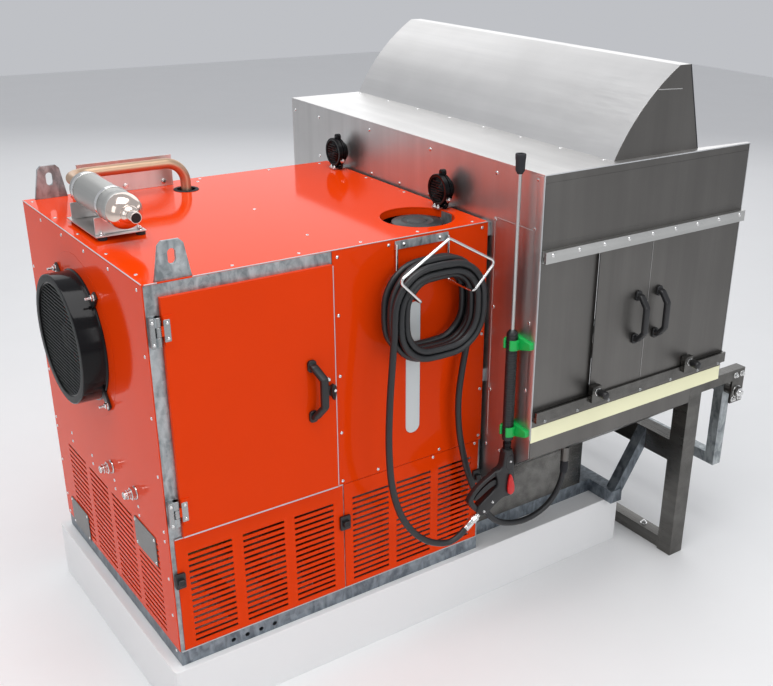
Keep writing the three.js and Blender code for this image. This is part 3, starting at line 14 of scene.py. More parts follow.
import bmesh
import bpy
import numpy as np
from mathutils import Matrix, Vector


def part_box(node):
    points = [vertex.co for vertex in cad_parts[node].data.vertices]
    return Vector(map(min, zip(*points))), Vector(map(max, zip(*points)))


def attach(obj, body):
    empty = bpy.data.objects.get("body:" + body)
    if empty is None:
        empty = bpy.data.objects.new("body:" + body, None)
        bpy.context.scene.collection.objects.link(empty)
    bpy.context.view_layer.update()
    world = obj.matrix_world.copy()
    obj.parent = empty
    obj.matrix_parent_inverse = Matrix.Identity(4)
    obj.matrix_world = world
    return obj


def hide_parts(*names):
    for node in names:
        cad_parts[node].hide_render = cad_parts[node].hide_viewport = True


log = logging.getLogger("bin_washer")
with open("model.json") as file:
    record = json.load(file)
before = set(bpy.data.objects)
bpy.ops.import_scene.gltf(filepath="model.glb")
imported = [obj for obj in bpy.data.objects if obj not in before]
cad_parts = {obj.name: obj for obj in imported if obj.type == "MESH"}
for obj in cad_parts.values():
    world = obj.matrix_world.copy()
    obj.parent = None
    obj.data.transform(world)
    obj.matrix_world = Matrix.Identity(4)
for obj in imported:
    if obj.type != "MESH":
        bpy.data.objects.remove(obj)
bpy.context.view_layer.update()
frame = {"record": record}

X, Y, Z = np.eye(3)

# ------------------------------------------------------------------ places, in millimetres of the machine
MILLIMETRES = 1000.0                     # in a metre
ORIGIN = np.array([510.0, 447.5, 0.0])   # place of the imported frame's origin
TOP_SKIN = 1103.0                        # outside of the cabinet's roof sheet
SIDE_SKIN = -3.0                         # outside of its front and end sheets
BACK_SKIN = 898.0                        # outside of its back sheet
WALL_X = 1031.0                          # outside of the chamber's left wall
CHAMBER_FRONT = -222.0                   # outside of its front wall
CHAMBER_BACK = 1150.0                    # outside of its back wall
ROOF_TOP = 1279.4                        # top of its flat roof

# ------------------------------------------------------------------ mesh and finish settings
MERGE_DISTANCE = 1e-6    # metres between points that are made one
NEEDLE_LENGTH = 1e-7     # metres under which an edge is dissolved
CLOUD_SCALE = 3.2        # slow colour change over a surface, waves per metre
BEAD_SCALE = 900.0       # reflecting beads per metre
FINE_OVER_BROAD = 14     # brushed hairlines for each broad brushed band
COAT_ROUGHNESS = 0.06
BUMP_DISTANCE = 0.001    # metres that full relief stands for


# ------------------------------------------------------------------ numpy kit
def to_frame(points: np.ndarray) -> np.ndarray:
    """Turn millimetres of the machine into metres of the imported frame.

    Args:
        points: Points in millimetres, any shape ending in 3.

    Returns:
        The same points in metres.
    """
    return (np.asarray(points, dtype=float) - ORIGIN) / MILLIMETRES


def node_box(node: str) -> tuple[np.ndarray, np.ndarray]:
    """Give a CAD node's lowest and highest corners in millimetres of the machine.

    Args:
        node: Name of the node.

    Returns:
        The two corners.
    """
    low, high = (np.array(corner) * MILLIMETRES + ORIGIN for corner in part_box(node))
    return low, high


def unit(vectors: np.ndarray) -> np.ndarray:
    """Scale each vector to length one.

    Args:
        vectors: Vectors in the last axis.

    Returns:
        Unit vectors.
    """
    vectors = np.asarray(vectors, dtype=float)
    return vectors / np.linalg.norm(vectors, axis=-1, keepdims=True)


def across(axis: np.ndarray) -> tuple[np.ndarray, np.ndarray]:
    """Find two directions square to an axis and to each other.

    Args:
        axis: Unit vector.

    Returns:
        The two unit vectors, right-handed with the axis.
    """
    helper = Z if abs(axis[2]) < 0.9 else X
    side = unit(np.cross(helper, axis))
    return side, np.cross(axis, side)


@dataclass
class Patch:
    """Points and faces of one shape, in millimetres of the machine."""

    points: np.ndarray
    faces: list[list[int]]

    def __add__(self, other: "Patch") -> "Patch":
        """Join two patches.

        Args:
            other: The patch to add.

        Returns:
            Both as one patch.
        """
        shift = len(self.points)
        moved = [[corner + shift for corner in face] for face in other.faces]
        return Patch(np.vstack([self.points, other.points]), self.faces + moved)

    def copied(self, offsets: Sequence) -> "Patch":
        """Repeat the patch at each offset.

        Args:
            offsets: Offsets in millimetres, one row each.

        Returns:
            All the copies as one patch.
        """
        steps = np.atleast_2d(np.asarray(offsets, dtype=float))
        points = (steps[:, None, :] + self.points[None]).reshape(-1, 3)
        count = len(self.points)
        faces = [[corner + copy * count for corner in face]
                 for copy in range(len(steps)) for face in self.faces]
        return Patch(points, faces)

    def mirrored(self, column: int, centre: float) -> "Patch":
        """Mirror the patch in a plane square to one axis, faces turned back outwards.

        Args:
            column: Axis, 0 to 2.
            centre: Place of the plane on it.

        Returns:
            The mirror image.
        """
        points = self.points.copy()
        points[:, column] = 2 * centre - points[:, column]
        return Patch(points, [face[::-1] for face in self.faces])


def joined(patches: Sequence[Patch]) -> Patch:
    """Join any number of patches.

    Args:
        patches: The patches.

    Returns:
        All of them as one.
    """
    whole = patches[0]
    for patch in patches[1:]:
        whole = whole + patch
    return whole


def grid(points: np.ndarray, rows_meet: bool = False, columns_meet: bool = False,
         caps: tuple[bool, bool] = (False, False)) -> Patch:
    """Cover a grid of points with quads: face (i, j) joins rows i, i+1 and columns j, j+1.

    Args:
        points: Array rows x columns x 3.
        rows_meet: Whether the last row joins the first.
        columns_meet: Whether the last column joins the first.
        caps: Whether the first and the last row are closed by one face.

    Returns:
        The patch.
    """
    rows, columns = points.shape[:2]
    index = np.arange(rows * columns).reshape(rows, columns)
    ends = [index[0][::-1].tolist()] * caps[0] + [index[-1].tolist()] * caps[1]
    if rows_meet:
        index = np.vstack([index, index[:1]])
    if columns_meet:
        index = np.hstack([index, index[:, :1]])
    quads = np.stack([index[:-1, :-1], index[:-1, 1:], index[1:, 1:], index[1:, :-1]], axis=-1)
    return Patch(points.reshape(-1, 3), quads.reshape(-1, 4).tolist() + ends)


def turned(start: Sequence, axis: Sequence, profile: Sequence, sides: int = 32,
           closed: bool = False) -> Patch:
    """Turn a profile round an axis: point = start + d*axis + r*(cos a*u + sin a*v).

    Args:
        start: Point on the axis where d is 0.
        axis: Direction of the axis.
        profile: Pairs (d along the axis, radius r).
        sides: Number of steps of the angle a.
        closed: Whether the profile is a loop, for a hollow ring.

    Returns:
        The patch, closed at poles or by end faces.
    """
    axis = unit(np.asarray(axis, dtype=float))
    side, top = across(axis)
    shape = np.asarray(profile, dtype=float)
    angle = 2 * np.pi * np.arange(sides) / sides
    ring = np.cos(angle)[:, None] * side + np.sin(angle)[:, None] * top
    points = (np.asarray(start, dtype=float) + shape[:, :1, None] * axis
              + shape[:, 1:2, None] * ring[None])
    caps = (not closed and shape[0, 1] > 0, not closed and shape[-1, 1] > 0)
    return grid(points, rows_meet=closed, columns_meet=True, caps=caps)


def round_section(radius: float, sides: int = 12) -> np.ndarray:
    """Give a circle of points in its own plane.

    Args:
        radius: Radius.
        sides: Number of points.

    Returns:
        Array sides x 2.
    """
    angle = 2 * np.pi * np.arange(sides) / sides
    return radius * np.stack([np.cos(angle), np.sin(angle)], axis=-1)


def rounded(width: float, height: float, radius: float, centre: Sequence = (0.0, 0.0),
            steps: int = 4) -> np.ndarray:
    """Give a rectangle with round corners, counter-clockwise.

    Args:
        width: Full width.
        height: Full height.
        radius: Corner radius.
        centre: Middle of the rectangle.
        steps: Steps per corner.

    Returns:
        Array of 2-D points.
    """
    angle = np.linspace(0, np.pi / 2, steps + 1)[None] + np.arange(4)[:, None] * np.pi / 2
    signs = np.array([[1, 1], [-1, 1], [-1, -1], [1, -1]])
    middle = signs * (np.array([width, height]) / 2 - radius)
    arc = np.stack([np.cos(angle), np.sin(angle)], axis=-1) * radius
    return (middle[:, None] + arc).reshape(-1, 2) + np.asarray(centre)


def fillet(corners: Sequence, radius: float, steps: int = 6) -> np.ndarray:
    """Round the corners of a path: each arc is the slerp between the two tangent points.

    Args:
        corners: Corner points of the path.
        radius: Bend radius.
        steps: Steps per bend.

    Returns:
        Points of the rounded path.
    """
    corner = np.asarray(corners, dtype=float)
    back = unit(corner[:-2] - corner[1:-1])
    ahead = unit(corner[2:] - corner[1:-1])
    half = np.arccos(np.clip((back * ahead).sum(-1), -1, 1)) / 2
    middle = corner[1:-1] + unit(back + ahead) * (radius / np.sin(half))[:, None]
    cut = (radius / np.tan(half))[:, None]
    first = corner[1:-1] + back * cut - middle
    last = corner[1:-1] + ahead * cut - middle
    sweep = (np.pi - 2 * half)[:, None, None]
    t = np.linspace(0, 1, steps + 1)[None, :, None]
    arc = (np.sin((1 - t) * sweep) * first[:, None] + np.sin(t * sweep) * last[:, None]) / np.sin(sweep)
    bends = (middle[:, None] + arc).reshape(-1, 3)
    return np.vstack([corner[:1], bends, corner[-1:]])


def swept(path: np.ndarray, section: np.ndarray, up: Sequence | None = None) -> Patch:
    """Carry a section along a path: point = path + a*side + b*top.

    Without up, each step turns the last side direction back square to the new
    tangent, so that the section does not twist.

    Args:
        path: Points of the path.
        section: 2-D points (a, b).
        up: Direction that top leans to.

    Returns:
        The closed patch.
    """
    tangent = unit(np.gradient(path, axis=0))
    if up is None:
        carried = [across(tangent[0])[0]]
        for direction in tangent[1:]:
            carried.append(unit(carried[-1] - direction * (carried[-1] @ direction)))
        side = np.array(carried)
        top = np.cross(tangent, side)
    else:
        side = unit(np.cross(tangent, np.asarray(up, dtype=float)))
        top = np.cross(side, tangent)
    points = path[:, None] + section[None, :, :1] * side[:, None] + section[None, :, 1:] * top[:, None]
    return grid(points, columns_meet=True, caps=(True, True))


def smoothed(outline: Sequence, times: int = 2) -> np.ndarray:
    """Cut an outline's corners: each edge gives points at a quarter and three quarters of it.

    Args:
        outline: Corner points.
        times: How often the cutting is repeated.

    Returns:
        The rounder outline.
    """
    points = np.asarray(outline, dtype=float)
    for _ in range(times):
        ahead = np.roll(points, -1, axis=0)
        points = np.stack([0.75 * points + 0.25 * ahead, 0.25 * points + 0.75 * ahead], axis=1).reshape(-1, 2)
    return points


class Plane(Enum):
    """Which two axes an outline lies in, and which one it is thickened along."""

    FRONT = (0, 2, 1)
    SIDE = (1, 2, 0)
    TOP = (0, 1, 2)


def plate(outline: np.ndarray, plane: Plane, low: float, high: float, edge: float = 0.6) -> Patch:
    """Thicken an outline between two heights, its rims eased by a mitred inset.

    Args:
        outline: 2-D points of the outline.
        plane: Plane it lies in.
        low: Lower place along the thickness.
        high: Higher place along the thickness.
        edge: Width of the eased rims.

    Returns:
        The closed patch.
    """
    outline = np.asarray(outline, dtype=float)
    ahead = unit(np.roll(outline, -1, axis=0) - outline)
    area = np.cross(outline, np.roll(outline, -1, axis=0)).sum()
    normal = np.stack([-ahead[:, 1], ahead[:, 0]], axis=-1) * np.sign(area)
    before = np.roll(normal, 1, axis=0)
    inward = (before + normal) / (1 + (before * normal).sum(-1, keepdims=True)).clip(0.35)
    bend = np.linspace(0, np.pi / 2, 2 if edge < 1.2 else 4)
    rise, inset = edge * (1 - np.cos(bend)), edge * (1 - np.sin(bend))
    heights = np.concatenate([low + rise, high - rise[::-1]])
    inset = np.concatenate([inset, inset[::-1]])
    flat = outline[None] + inset[:, None, None] * inward[None]
    points = np.empty((len(heights), len(outline), 3))
    first, second, third = plane.value
    points[..., first], points[..., second] = flat[..., 0], flat[..., 1]
    points[..., third] = heights[:, None]
    return grid(points, columns_meet=True, caps=(True, True))


def slab(low: Sequence, high: Sequence, edge: float = 0.6, radius: float = 1.5) -> Patch:
    """Give a box with eased edges, standing on its lower face.

    Args:
        low: Lowest corner.
        high: Highest corner.
        edge: Width of the eased rims.
        radius: Radius of the upright corners.

    Returns:
        The closed patch.
    """
    low, high = np.asarray(low, dtype=float), np.asarray(high, dtype=float)
    size, middle = high - low, (high + low) / 2
    outline = rounded(size[0], size[1], radius, middle[:2], 2)
    return plate(outline, Plane.TOP, low[2], high[2], edge)


def bars(starts: np.ndarray, ends: np.ndarray, radius: float, sides: int = 6) -> Patch:
    """Stretch straight round bars between pairs of points, all at once.

    Args:
        starts: First end of each bar.
        ends: Other end of each bar; all bars run the same way.
        radius: Radius of a bar.
        sides: Sides of a bar.

    Returns:
        All the bars, closed.
    """
    axis = unit(ends[0] - starts[0])
    side, top = across(axis)
    section = round_section(radius, sides)
    ring = section[:, :1] * side + section[:, 1:] * top
    points = np.stack([starts, ends], axis=1)[:, :, None] + ring[None, None]
    one = grid(points[0], columns_meet=True, caps=(True, True))
    faces = [[corner + k * 2 * sides for corner in face]
             for k in range(len(starts)) for face in one.faces]
    return Patch(points.reshape(-1, 3), faces)


def on_face(plane: Plane, height: float, places: Sequence) -> np.ndarray:
    """Lift 2-D places on a flat face into space.

    Args:
        plane: Plane of the face.
        height: Where the face lies along its normal.
        places: Pairs in the plane.

    Returns:
        Array of 3-D points.
    """
    flat = np.atleast_2d(np.asarray(places, dtype=float))
    points = np.empty((len(flat), 3))
    first, second, third = plane.value
    points[:, first], points[:, second], points[:, third] = flat[:, 0], flat[:, 1], height
    return points


def rivets(normal: Sequence, places: np.ndarray, radius: float = 5.2, height: float = 2.4) -> Patch:
    """Set domed rivet heads: the dome is a quarter ellipse turned round the normal.

    Args:
        normal: Outward direction of the sheet.
        places: Points on the sheet.
        radius: Radius of a head.
        height: Height of a head.

    Returns:
        All the heads.
    """
    lift = np.linspace(0, np.pi / 2, 4)
    dome = [(-0.2, radius)] + [(height * math.sin(a), radius * math.cos(a)) for a in lift[:-1]]
    return turned((0, 0, 0), normal, dome + [(height, 0.0)], 10).copied(places)


def bolts(normal: Sequence, places: np.ndarray, size: float = 6.5, washer: float = 9.0,
          stub: float = 0.0) -> Patch:
    """Set hexagon bolt heads on washers, with a thread end where stub is given.

    Args:
        normal: Outward direction.
        places: Points on the surface.
        size: Radius of the hexagon over its corners.
        washer: Radius of the washer.
        stub: Length of thread that stands out of the head.

    Returns:
        All the bolts.
    """
    low, deep = 1.6, size * 0.75
    parts = turned((0, 0, 0), normal, [(-0.3, washer), (low - 0.5, washer), (low, washer - 0.6)], 16)
    head = [(low, size * 0.97), (low + 0.4, size), (low + deep - 1, size),
            (low + deep, size * 0.86), (low + deep, 0.0)]
    parts += turned((0, 0, 0), normal, head, 6)
    if stub:
        reach = low + deep + stub
        turns = [(low + deep - 0.5, size * 0.48)]
        turns += [(low + deep + s, size * (0.48 if k % 2 else 0.42))
                  for k, s in enumerate(np.arange(0.5, stub - 0.6, 0.8))]
        parts += turned((0, 0, 0), normal, turns + [(reach, size * 0.36), (reach, 0.0)], 12)
    return parts.copied(places)


def catmull_rom(points: Sequence, step: float = 14.0) -> np.ndarray:
    """Draw a centripetal Catmull-Rom curve through points.

    Each span mixes its four neighbours by the Barry-Goldman pyramid, with knots
    spaced by the square root of the distances.

    Args:
        points: Points that the curve goes through.
        step: Spacing of the samples, in millimetres.

    Returns:
        Samples from the first to the last point.
    """
    given = np.asarray(points, dtype=float)
    padded = np.vstack([2 * given[0] - given[1], given, 2 * given[-1] - given[-2]])
    pieces = []
    for a, b, c, d in zip(padded[:-3], padded[1:-2], padded[2:-1], padded[3:]):
        knots = np.cumsum([0.0] + [math.sqrt(np.linalg.norm(q - p)) for p, q in ((a, b), (b, c), (c, d))])
        count = max(2, round(np.linalg.norm(c - b) / step))
        t = np.linspace(knots[1], knots[2], count, endpoint=False)[:, None]
        ab = ((knots[1] - t) * a + (t - knots[0]) * b) / (knots[1] - knots[0])
        bc = ((knots[2] - t) * b + (t - knots[1]) * c) / (knots[2] - knots[1])
        cd = ((knots[3] - t) * c + (t - knots[2]) * d) / (knots[3] - knots[2])
        abc = ((knots[2] - t) * ab + (t - knots[0]) * bc) / (knots[2] - knots[0])
        bcd = ((knots[3] - t) * bc + (t - knots[1]) * cd) / (knots[3] - knots[1])
        pieces.append(((knots[2] - t) * abc + (t - knots[1]) * bcd) / (knots[2] - knots[1]))
    return np.vstack(pieces + [given[-1:]])


# ------------------------------------------------------------------ finishes
class Pattern(Enum):
    """How a finish is broken up over its surface."""

    GRAIN = "fine moulded grain"
    PAINT = "gloss paint with faint orange peel"
    SPANGLE = "zinc crystals and drag marks"
    BRUSHED = "brushed lines along one axis"
    TINTED = "heat colours along the pipe"
    BEADS = "small reflecting beads"


class Lines(Enum):
    """Stretch of the brushed lines: small along the line, large across it."""

    ALONG_X = (0.03, 1.0, 1.0)
    ALONG_Y = (1.0, 0.03, 1.0)
    ALONG_Z = (1.0, 1.0, 0.03)


@dataclass
class Nodes:
    """A material's node tree, with short ways to add and join nodes."""

    tree: bpy.types.NodeTree

    def add(self, kind: str, inputs: dict | None = None, **settings) -> bpy.types.Node:
        """Add a node.

        Args:
            kind: Node type without its ShaderNode prefix.
            inputs: Values or sockets for its inputs.
            **settings: Values for its properties.

        Returns:
            The node.
        """
        node = self.tree.nodes.new("ShaderNode" + kind)
        for name, value in settings.items():
            setattr(node, name, value)
        for name, value in (inputs or {}).items():
            if isinstance(value, bpy.types.NodeSocket):
                self.tree.links.new(value, node.inputs[name])
            else:
                node.inputs[name].default_value = value
        return node

    def ramp(self, factor: bpy.types.NodeSocket, stops: Sequence) -> bpy.types.NodeSocket:
        """Turn a factor into colours.

        Args:
            factor: Socket with values from 0 to 1.
            stops: Pairs (place, colour).

        Returns:
            The colour socket.
        """
        node = self.add("ValToRGB", {"Fac": factor})
        band = node.color_ramp.elements
        while len(band) < len(stops):
            band.new(0.5)
        for element, (place, colour) in zip(band, stops):
            element.position = place
            element.color = (*colour, 1.0)
        return node.outputs["Color"]

    def span(self, factor: bpy.types.NodeSocket, low: float, high: float,
             start: float = 0.0, stop: float = 1.0) -> bpy.types.NodeSocket:
        """Map a factor from start..stop to low..high.

        Args:
            factor: Socket to map.
            low: Value at start.
            high: Value at stop.
            start: Factor that gives low.
            stop: Factor that gives high.

        Returns:
            The mapped socket.
        """
        return self.add("MapRange", {"Value": factor, "From Min": start, "From Max": stop,
                                     "To Min": low, "To Max": high}).outputs["Result"]


@dataclass(frozen=True)
class Finish:
    """One finish: colour, how it varies, its gloss and its relief."""

    name: str
    colour: tuple[float, float, float]
    second: tuple[float, float, float]
    rough: tuple[float, float]
    pattern: Pattern = Pattern.GRAIN
    metal: float = 0.0
    scale: float = 60.0
    relief: float = 0.05
    lines: Lines = Lines.ALONG_X
    coat: float = 0.0
    gloss: float = 0.5
    clear: float = 0.0
    round_edges: float = 0.0008

    def material(self) -> bpy.types.Material:
        """Return the finish's material, made the first time it is asked for."""
        known = bpy.data.materials.get(self.name)
        return known if known else self._make()

    def _make(self) -> bpy.types.Material:
        """Build the node tree: pattern to colour, roughness and bump.

        Returns:
            The material.
        """
        material = bpy.data.materials.new(self.name)
        material.use_nodes = True
        nodes = Nodes(material.node_tree)
        material.node_tree.nodes.clear()
        place = nodes.add("TexCoord").outputs["Object"]
        shader = nodes.add("BsdfPrincipled", {"Metallic": self.metal, "Coat Weight": self.coat,
                                              "Coat Roughness": COAT_ROUGHNESS,
                                              "Specular IOR Level": self.gloss,
                                              "Transmission Weight": self.clear})
        colour, rough, height = self._pattern(nodes, place)
        edges = nodes.add("Bevel", {"Radius": self.round_edges}, samples=4).outputs["Normal"]
        bump = nodes.add("Bump", {"Height": height, "Strength": self.relief, "Normal": edges,
                                  "Distance": BUMP_DISTANCE}).outputs["Normal"]
        tree = material.node_tree
        tree.links.new(colour, shader.inputs["Base Color"])
        tree.links.new(rough, shader.inputs["Roughness"])
        tree.links.new(bump, shader.inputs["Normal"])
        out = nodes.add("OutputMaterial")
        tree.links.new(shader.outputs["BSDF"], out.inputs["Surface"])
        return material

    def _pattern(self, nodes: Nodes, place: bpy.types.NodeSocket) -> tuple:
        """Work out the sockets of the finish's own pattern; plain ones are a fine grain.

        Args:
            nodes: Tree to add to.
            place: Object coordinates.

        Returns:
            Sockets for colour, roughness and height.
        """
        if self.pattern is Pattern.SPANGLE:
            return self._spangle(nodes, place)
        cloud = nodes.add("TexNoise", {"Vector": place, "Scale": CLOUD_SCALE, "Detail": 4.0}).outputs["Fac"]
        if self.pattern in (Pattern.BRUSHED, Pattern.TINTED):
            return self._brushed(nodes, place, cloud)
        scale = BEAD_SCALE if self.pattern is Pattern.BEADS else self.scale
        fine = nodes.add("TexNoise", {"Vector": place, "Scale": scale, "Detail": 3.0}).outputs["Fac"]
        colour = nodes.ramp(nodes.span(cloud, 0, 1, 0.3, 0.7), ((0.0, self.second), (1.0, self.colour)))
        return colour, nodes.span(fine, *self.rough, 0.35, 0.65), fine

    def _spangle(self, nodes: Nodes, place: bpy.types.NodeSocket) -> tuple:
        """Add a tone for each zinc crystal to drag marks, a noise stretched aslant.

        Args:
            nodes: Tree to add to.
            place: Object coordinates.

        Returns:
            Sockets for colour, roughness and height.
        """
        cells = nodes.add("TexVoronoi", {"Vector": place, "Scale": self.scale})
        tone = nodes.add("SeparateColor", {"Color": cells.outputs["Color"]}).outputs["Red"]
        drag = nodes.add("Mapping", {"Vector": place, "Scale": (7.0, 7.0, 2.6),
                                     "Rotation": (0.5, 0.35, 0.2)}).outputs["Vector"]
        marks = nodes.add("TexNoise", {"Vector": drag, "Scale": 6.0, "Detail": 6.0,
                                       "Distortion": 0.8}).outputs["Fac"]
        share = nodes.span(tone, -0.16, 0.16)
        streaks = nodes.span(marks, 0.0, 1.0, 0.33, 0.66)
        mixed = nodes.add("Math", {0: share, 1: streaks}, operation="ADD", use_clamp=True).outputs["Value"]
        colour = nodes.ramp(mixed, ((0.0, self.second), (1.0, self.colour)))
        return colour, nodes.span(marks, *self.rough, 0.3, 0.7), marks

    def _brushed(self, nodes: Nodes, place: bpy.types.NodeSocket, cloud: bpy.types.NodeSocket) -> tuple:
        """Draw brushed lines, a noise stretched along one axis; heat colours change along x.

        Args:
            nodes: Tree to add to.
            place: Object coordinates.
            cloud: Slow colour change.

        Returns:
            Sockets for colour, roughness and height.
        """
        stretch = nodes.add("Mapping", {"Vector": place, "Scale": self.lines.value}).outputs["Vector"]
        fine = nodes.add("TexNoise", {"Vector": stretch, "Scale": self.scale * FINE_OVER_BROAD,
                                      "Detail": 3.0, "Roughness": 0.7}).outputs["Fac"]
        broad = nodes.add("TexNoise", {"Vector": stretch, "Scale": self.scale, "Detail": 5.0}).outputs["Fac"]
        if self.pattern is Pattern.TINTED:
            along = nodes.add("SeparateXYZ", {"Vector": place}).outputs["X"]
            warm = nodes.add("Math", {0: nodes.span(along, 0.75, 0.0, -0.38, -0.06),
                                      1: nodes.span(broad, -0.15, 0.15)}, operation="ADD").outputs["Value"]
            colour = nodes.ramp(warm, ((0.0, self.second), (0.45, self.colour),
                                       (0.8, (0.70, 0.36, 0.09)), (1.0, (0.60, 0.34, 0.14))))
        else:
            both = nodes.add("Math", {0: broad, 1: cloud}, operation="MULTIPLY").outputs["Value"]
            colour = nodes.ramp(nodes.span(both, 0, 1, 0.14, 0.38), ((0.0, self.second), (1.0, self.colour)))
        return colour, nodes.span(fine, *self.rough, 0.3, 0.7), fine


def tones(red: float, green: float, blue: float, spread: float = 0.12) -> dict:
    """Give a finish's colour with a second tone a little darker."""
    colour = (red, green, blue)
    return {"colour": colour, "second": tuple(c * (1 - spread) for c in colour)}


ORANGE = Finish("gloss_orange_paint", **tones(0.76, 0.047, 0.002, 0.05), rough=(0.07, 0.11),
                pattern=Pattern.PAINT, scale=420, relief=0.004, gloss=0.07)
ZINC = Finish("galvanised_zinc", (0.50, 0.53, 0.54), (0.20, 0.225, 0.235), (0.34, 0.52),
              Pattern.SPANGLE, 0.8, scale=85, relief=0.12)
DARK_ZINC = Finish("dark_zinc", (0.30, 0.34, 0.375), (0.12, 0.14, 0.165), (0.34, 0.52),
                   Pattern.SPANGLE, 0.8, scale=70, relief=0.14)
STAINLESS_WALL = Finish("brushed_stainless_upright", **tones(0.68, 0.67, 0.66, 0.16), rough=(0.34, 0.44),
                        pattern=Pattern.BRUSHED, metal=1.0, scale=22, lines=Lines.ALONG_Z, relief=0.03)
# Roof stainless: a lighter copy of the upright stainless, painted light on the lit top of the hood.
LIT_STAINLESS_ROOF = Finish("brushed_stainless_roof_painted_light", **tones(0.80, 0.79, 0.775, 0.14), rough=(0.32, 0.42),
                        pattern=Pattern.BRUSHED, metal=1.0, scale=22, lines=Lines.ALONG_Y, relief=0.03)
STAINLESS_FRONT = Finish("brushed_stainless_shaded", **tones(0.185, 0.178, 0.168, 0.16),
                         rough=(0.34, 0.46), pattern=Pattern.BRUSHED, metal=1.0, scale=16,
                         lines=Lines.ALONG_Z, relief=0.03)
# Frame stainless: a dark copy of the stainless, painted shade for the frame, lower rail and weld beads under
# the chamber.
SHADED_STAINLESS_FRAME = Finish("brushed_stainless_frame_painted_shade", **tones(0.17, 0.165, 0.155, 0.35),
                         rough=(0.24, 0.36), pattern=Pattern.BRUSHED, metal=1.0, scale=26,
                         lines=Lines.ALONG_Y, relief=0.04)
# Sump steel: a dark copy of the stainless, painted shade of the shadow under the chamber.
SHADED_SUMP_STEEL = Finish("sump_steel_painted_shade", **tones(0.20, 0.195, 0.185, 0.45), rough=(0.18, 0.30),
                    pattern=Pattern.BRUSHED, metal=1.0, scale=26, lines=Lines.ALONG_Y, relief=0.03)
PLATED = Finish("plated_hinge_steel", **tones(0.42, 0.43, 0.43, 0.35), rough=(0.18, 0.32), metal=1.0,
                scale=160, relief=0.08)
# Painted highlights: thin bright strips laid along folded and cut sheet edges stand in for the light those
# edges catch.
EDGE_HIGHLIGHT_PAINT = Finish("painted_edge_highlight", **tones(0.56, 0.57, 0.58, 0.1), rough=(0.4, 0.5), metal=0.3,
                   scale=200, relief=0.05)
# Near-black for the tailpipe's mouth: soot-black and the painted shade of a deep bore together.
BORE_SOOT_AND_SHADE = Finish("bore_soot_and_painted_shade", **tones(0.012, 0.011, 0.010, 0.3), rough=(0.7, 0.9), scale=300, relief=0.2)
LID = Finish("filler_lid_plastic", **tones(0.03, 0.032, 0.034, 0.25), rough=(0.32, 0.44),
             scale=500, relief=0.08)
BRIGHT = Finish("bright_plated_steel", **tones(0.80, 0.80, 0.79, 0.1), rough=(0.10, 0.20),
                metal=1.0, scale=90, relief=0.02)
CAN_STEEL = Finish("silencer_can_steel", **tones(0.50, 0.50, 0.48, 0.15), rough=(0.42, 0.52),
                   pattern=Pattern.BRUSHED, metal=1.0, scale=30, lines=Lines.ALONG_Y, relief=0.05)
COPPER_DOME = Finish("heat_tinted_dome", (0.82, 0.74, 0.68), (0.72, 0.44, 0.30), (0.10, 0.18),
                     metal=1.0, scale=90, relief=0.02)
TINTED = Finish("heat_tinted_steel", (0.80, 0.40, 0.07), (0.92, 0.66, 0.26), (0.12, 0.20),
                Pattern.TINTED, 1.0, scale=20, relief=0.02)
BLACK_PLASTIC = Finish("black_moulded_plastic", **tones(0.012, 0.012, 0.013, 0.25), rough=(0.30, 0.42),
                       scale=700, relief=0.06)
BLACK_GLOSS = Finish("black_smooth_cowl", **tones(0.004, 0.004, 0.005, 0.2), rough=(0.09, 0.14),
                     scale=160, relief=0.004, gloss=0.2)
GREY_RIM = Finish("grey_worn_rim", **tones(0.026, 0.028, 0.028, 0.3), rough=(0.45, 0.6),
                  scale=320, relief=0.06, gloss=0.3)
RUBBER = Finish("black_rubber", **tones(0.014, 0.014, 0.015, 0.3), rough=(0.48, 0.64),
                scale=900, relief=0.12)
HOSE = Finish("black_hose_rubber", **tones(0.017, 0.018, 0.020, 0.3), rough=(0.34, 0.46),
              scale=520, relief=0.10)
IRON = Finish("cast_iron_grey", **tones(0.10, 0.105, 0.11, 0.4), rough=(0.5, 0.7), metal=0.5,
              scale=220, relief=0.25)
BRASS = Finish("machined_brass", **tones(0.72, 0.50, 0.20, 0.2), rough=(0.2, 0.34), metal=1.0,
               scale=140, relief=0.04)
ALUMINIUM = Finish("extruded_aluminium", **tones(0.66, 0.66, 0.64, 0.18), rough=(0.26, 0.38),
                   pattern=Pattern.BRUSHED, metal=1.0, scale=30, relief=0.03)
TANK_SHADE = Finish("tank_plastic_in_shade", **tones(0.13, 0.135, 0.135, 0.15), rough=(0.35, 0.5),
                    scale=120, relief=0.05)
TANK_WHITE = Finish("translucent_tank_white", **tones(0.74, 0.77, 0.77, 0.08), rough=(0.3, 0.42),
                    scale=120, relief=0.05, clear=0.12)
GREEN = Finish("green_clip_plastic", **tones(0.004, 0.42, 0.075, 0.1), rough=(0.3, 0.4),
               scale=420, relief=0.05)
RED = Finish("red_catch_plastic", **tones(0.62, 0.012, 0.012, 0.15), rough=(0.28, 0.36),
             scale=420, relief=0.05)
STRIP = Finish("pale_reflecting_strip", **tones(0.95, 0.93, 0.62, 0.04), rough=(0.3, 0.5),
               pattern=Pattern.BEADS, relief=0.25)
GREY_PLATE = Finish("plain_grey_plate", **tones(0.20, 0.20, 0.195, 0.12), rough=(0.38, 0.5), metal=0.3,
                    scale=240, relief=0.05)
DARK_MESH = Finish("dark_grille_bars", **tones(0.024, 0.026, 0.026, 0.3), rough=(0.4, 0.55), metal=0.2,
                   scale=500, relief=0.05)
FLOOR = Finish("pale_studio_floor", **tones(0.83, 0.83, 0.83, 0.015), rough=(0.55, 0.65),
               scale=30, relief=0.01)

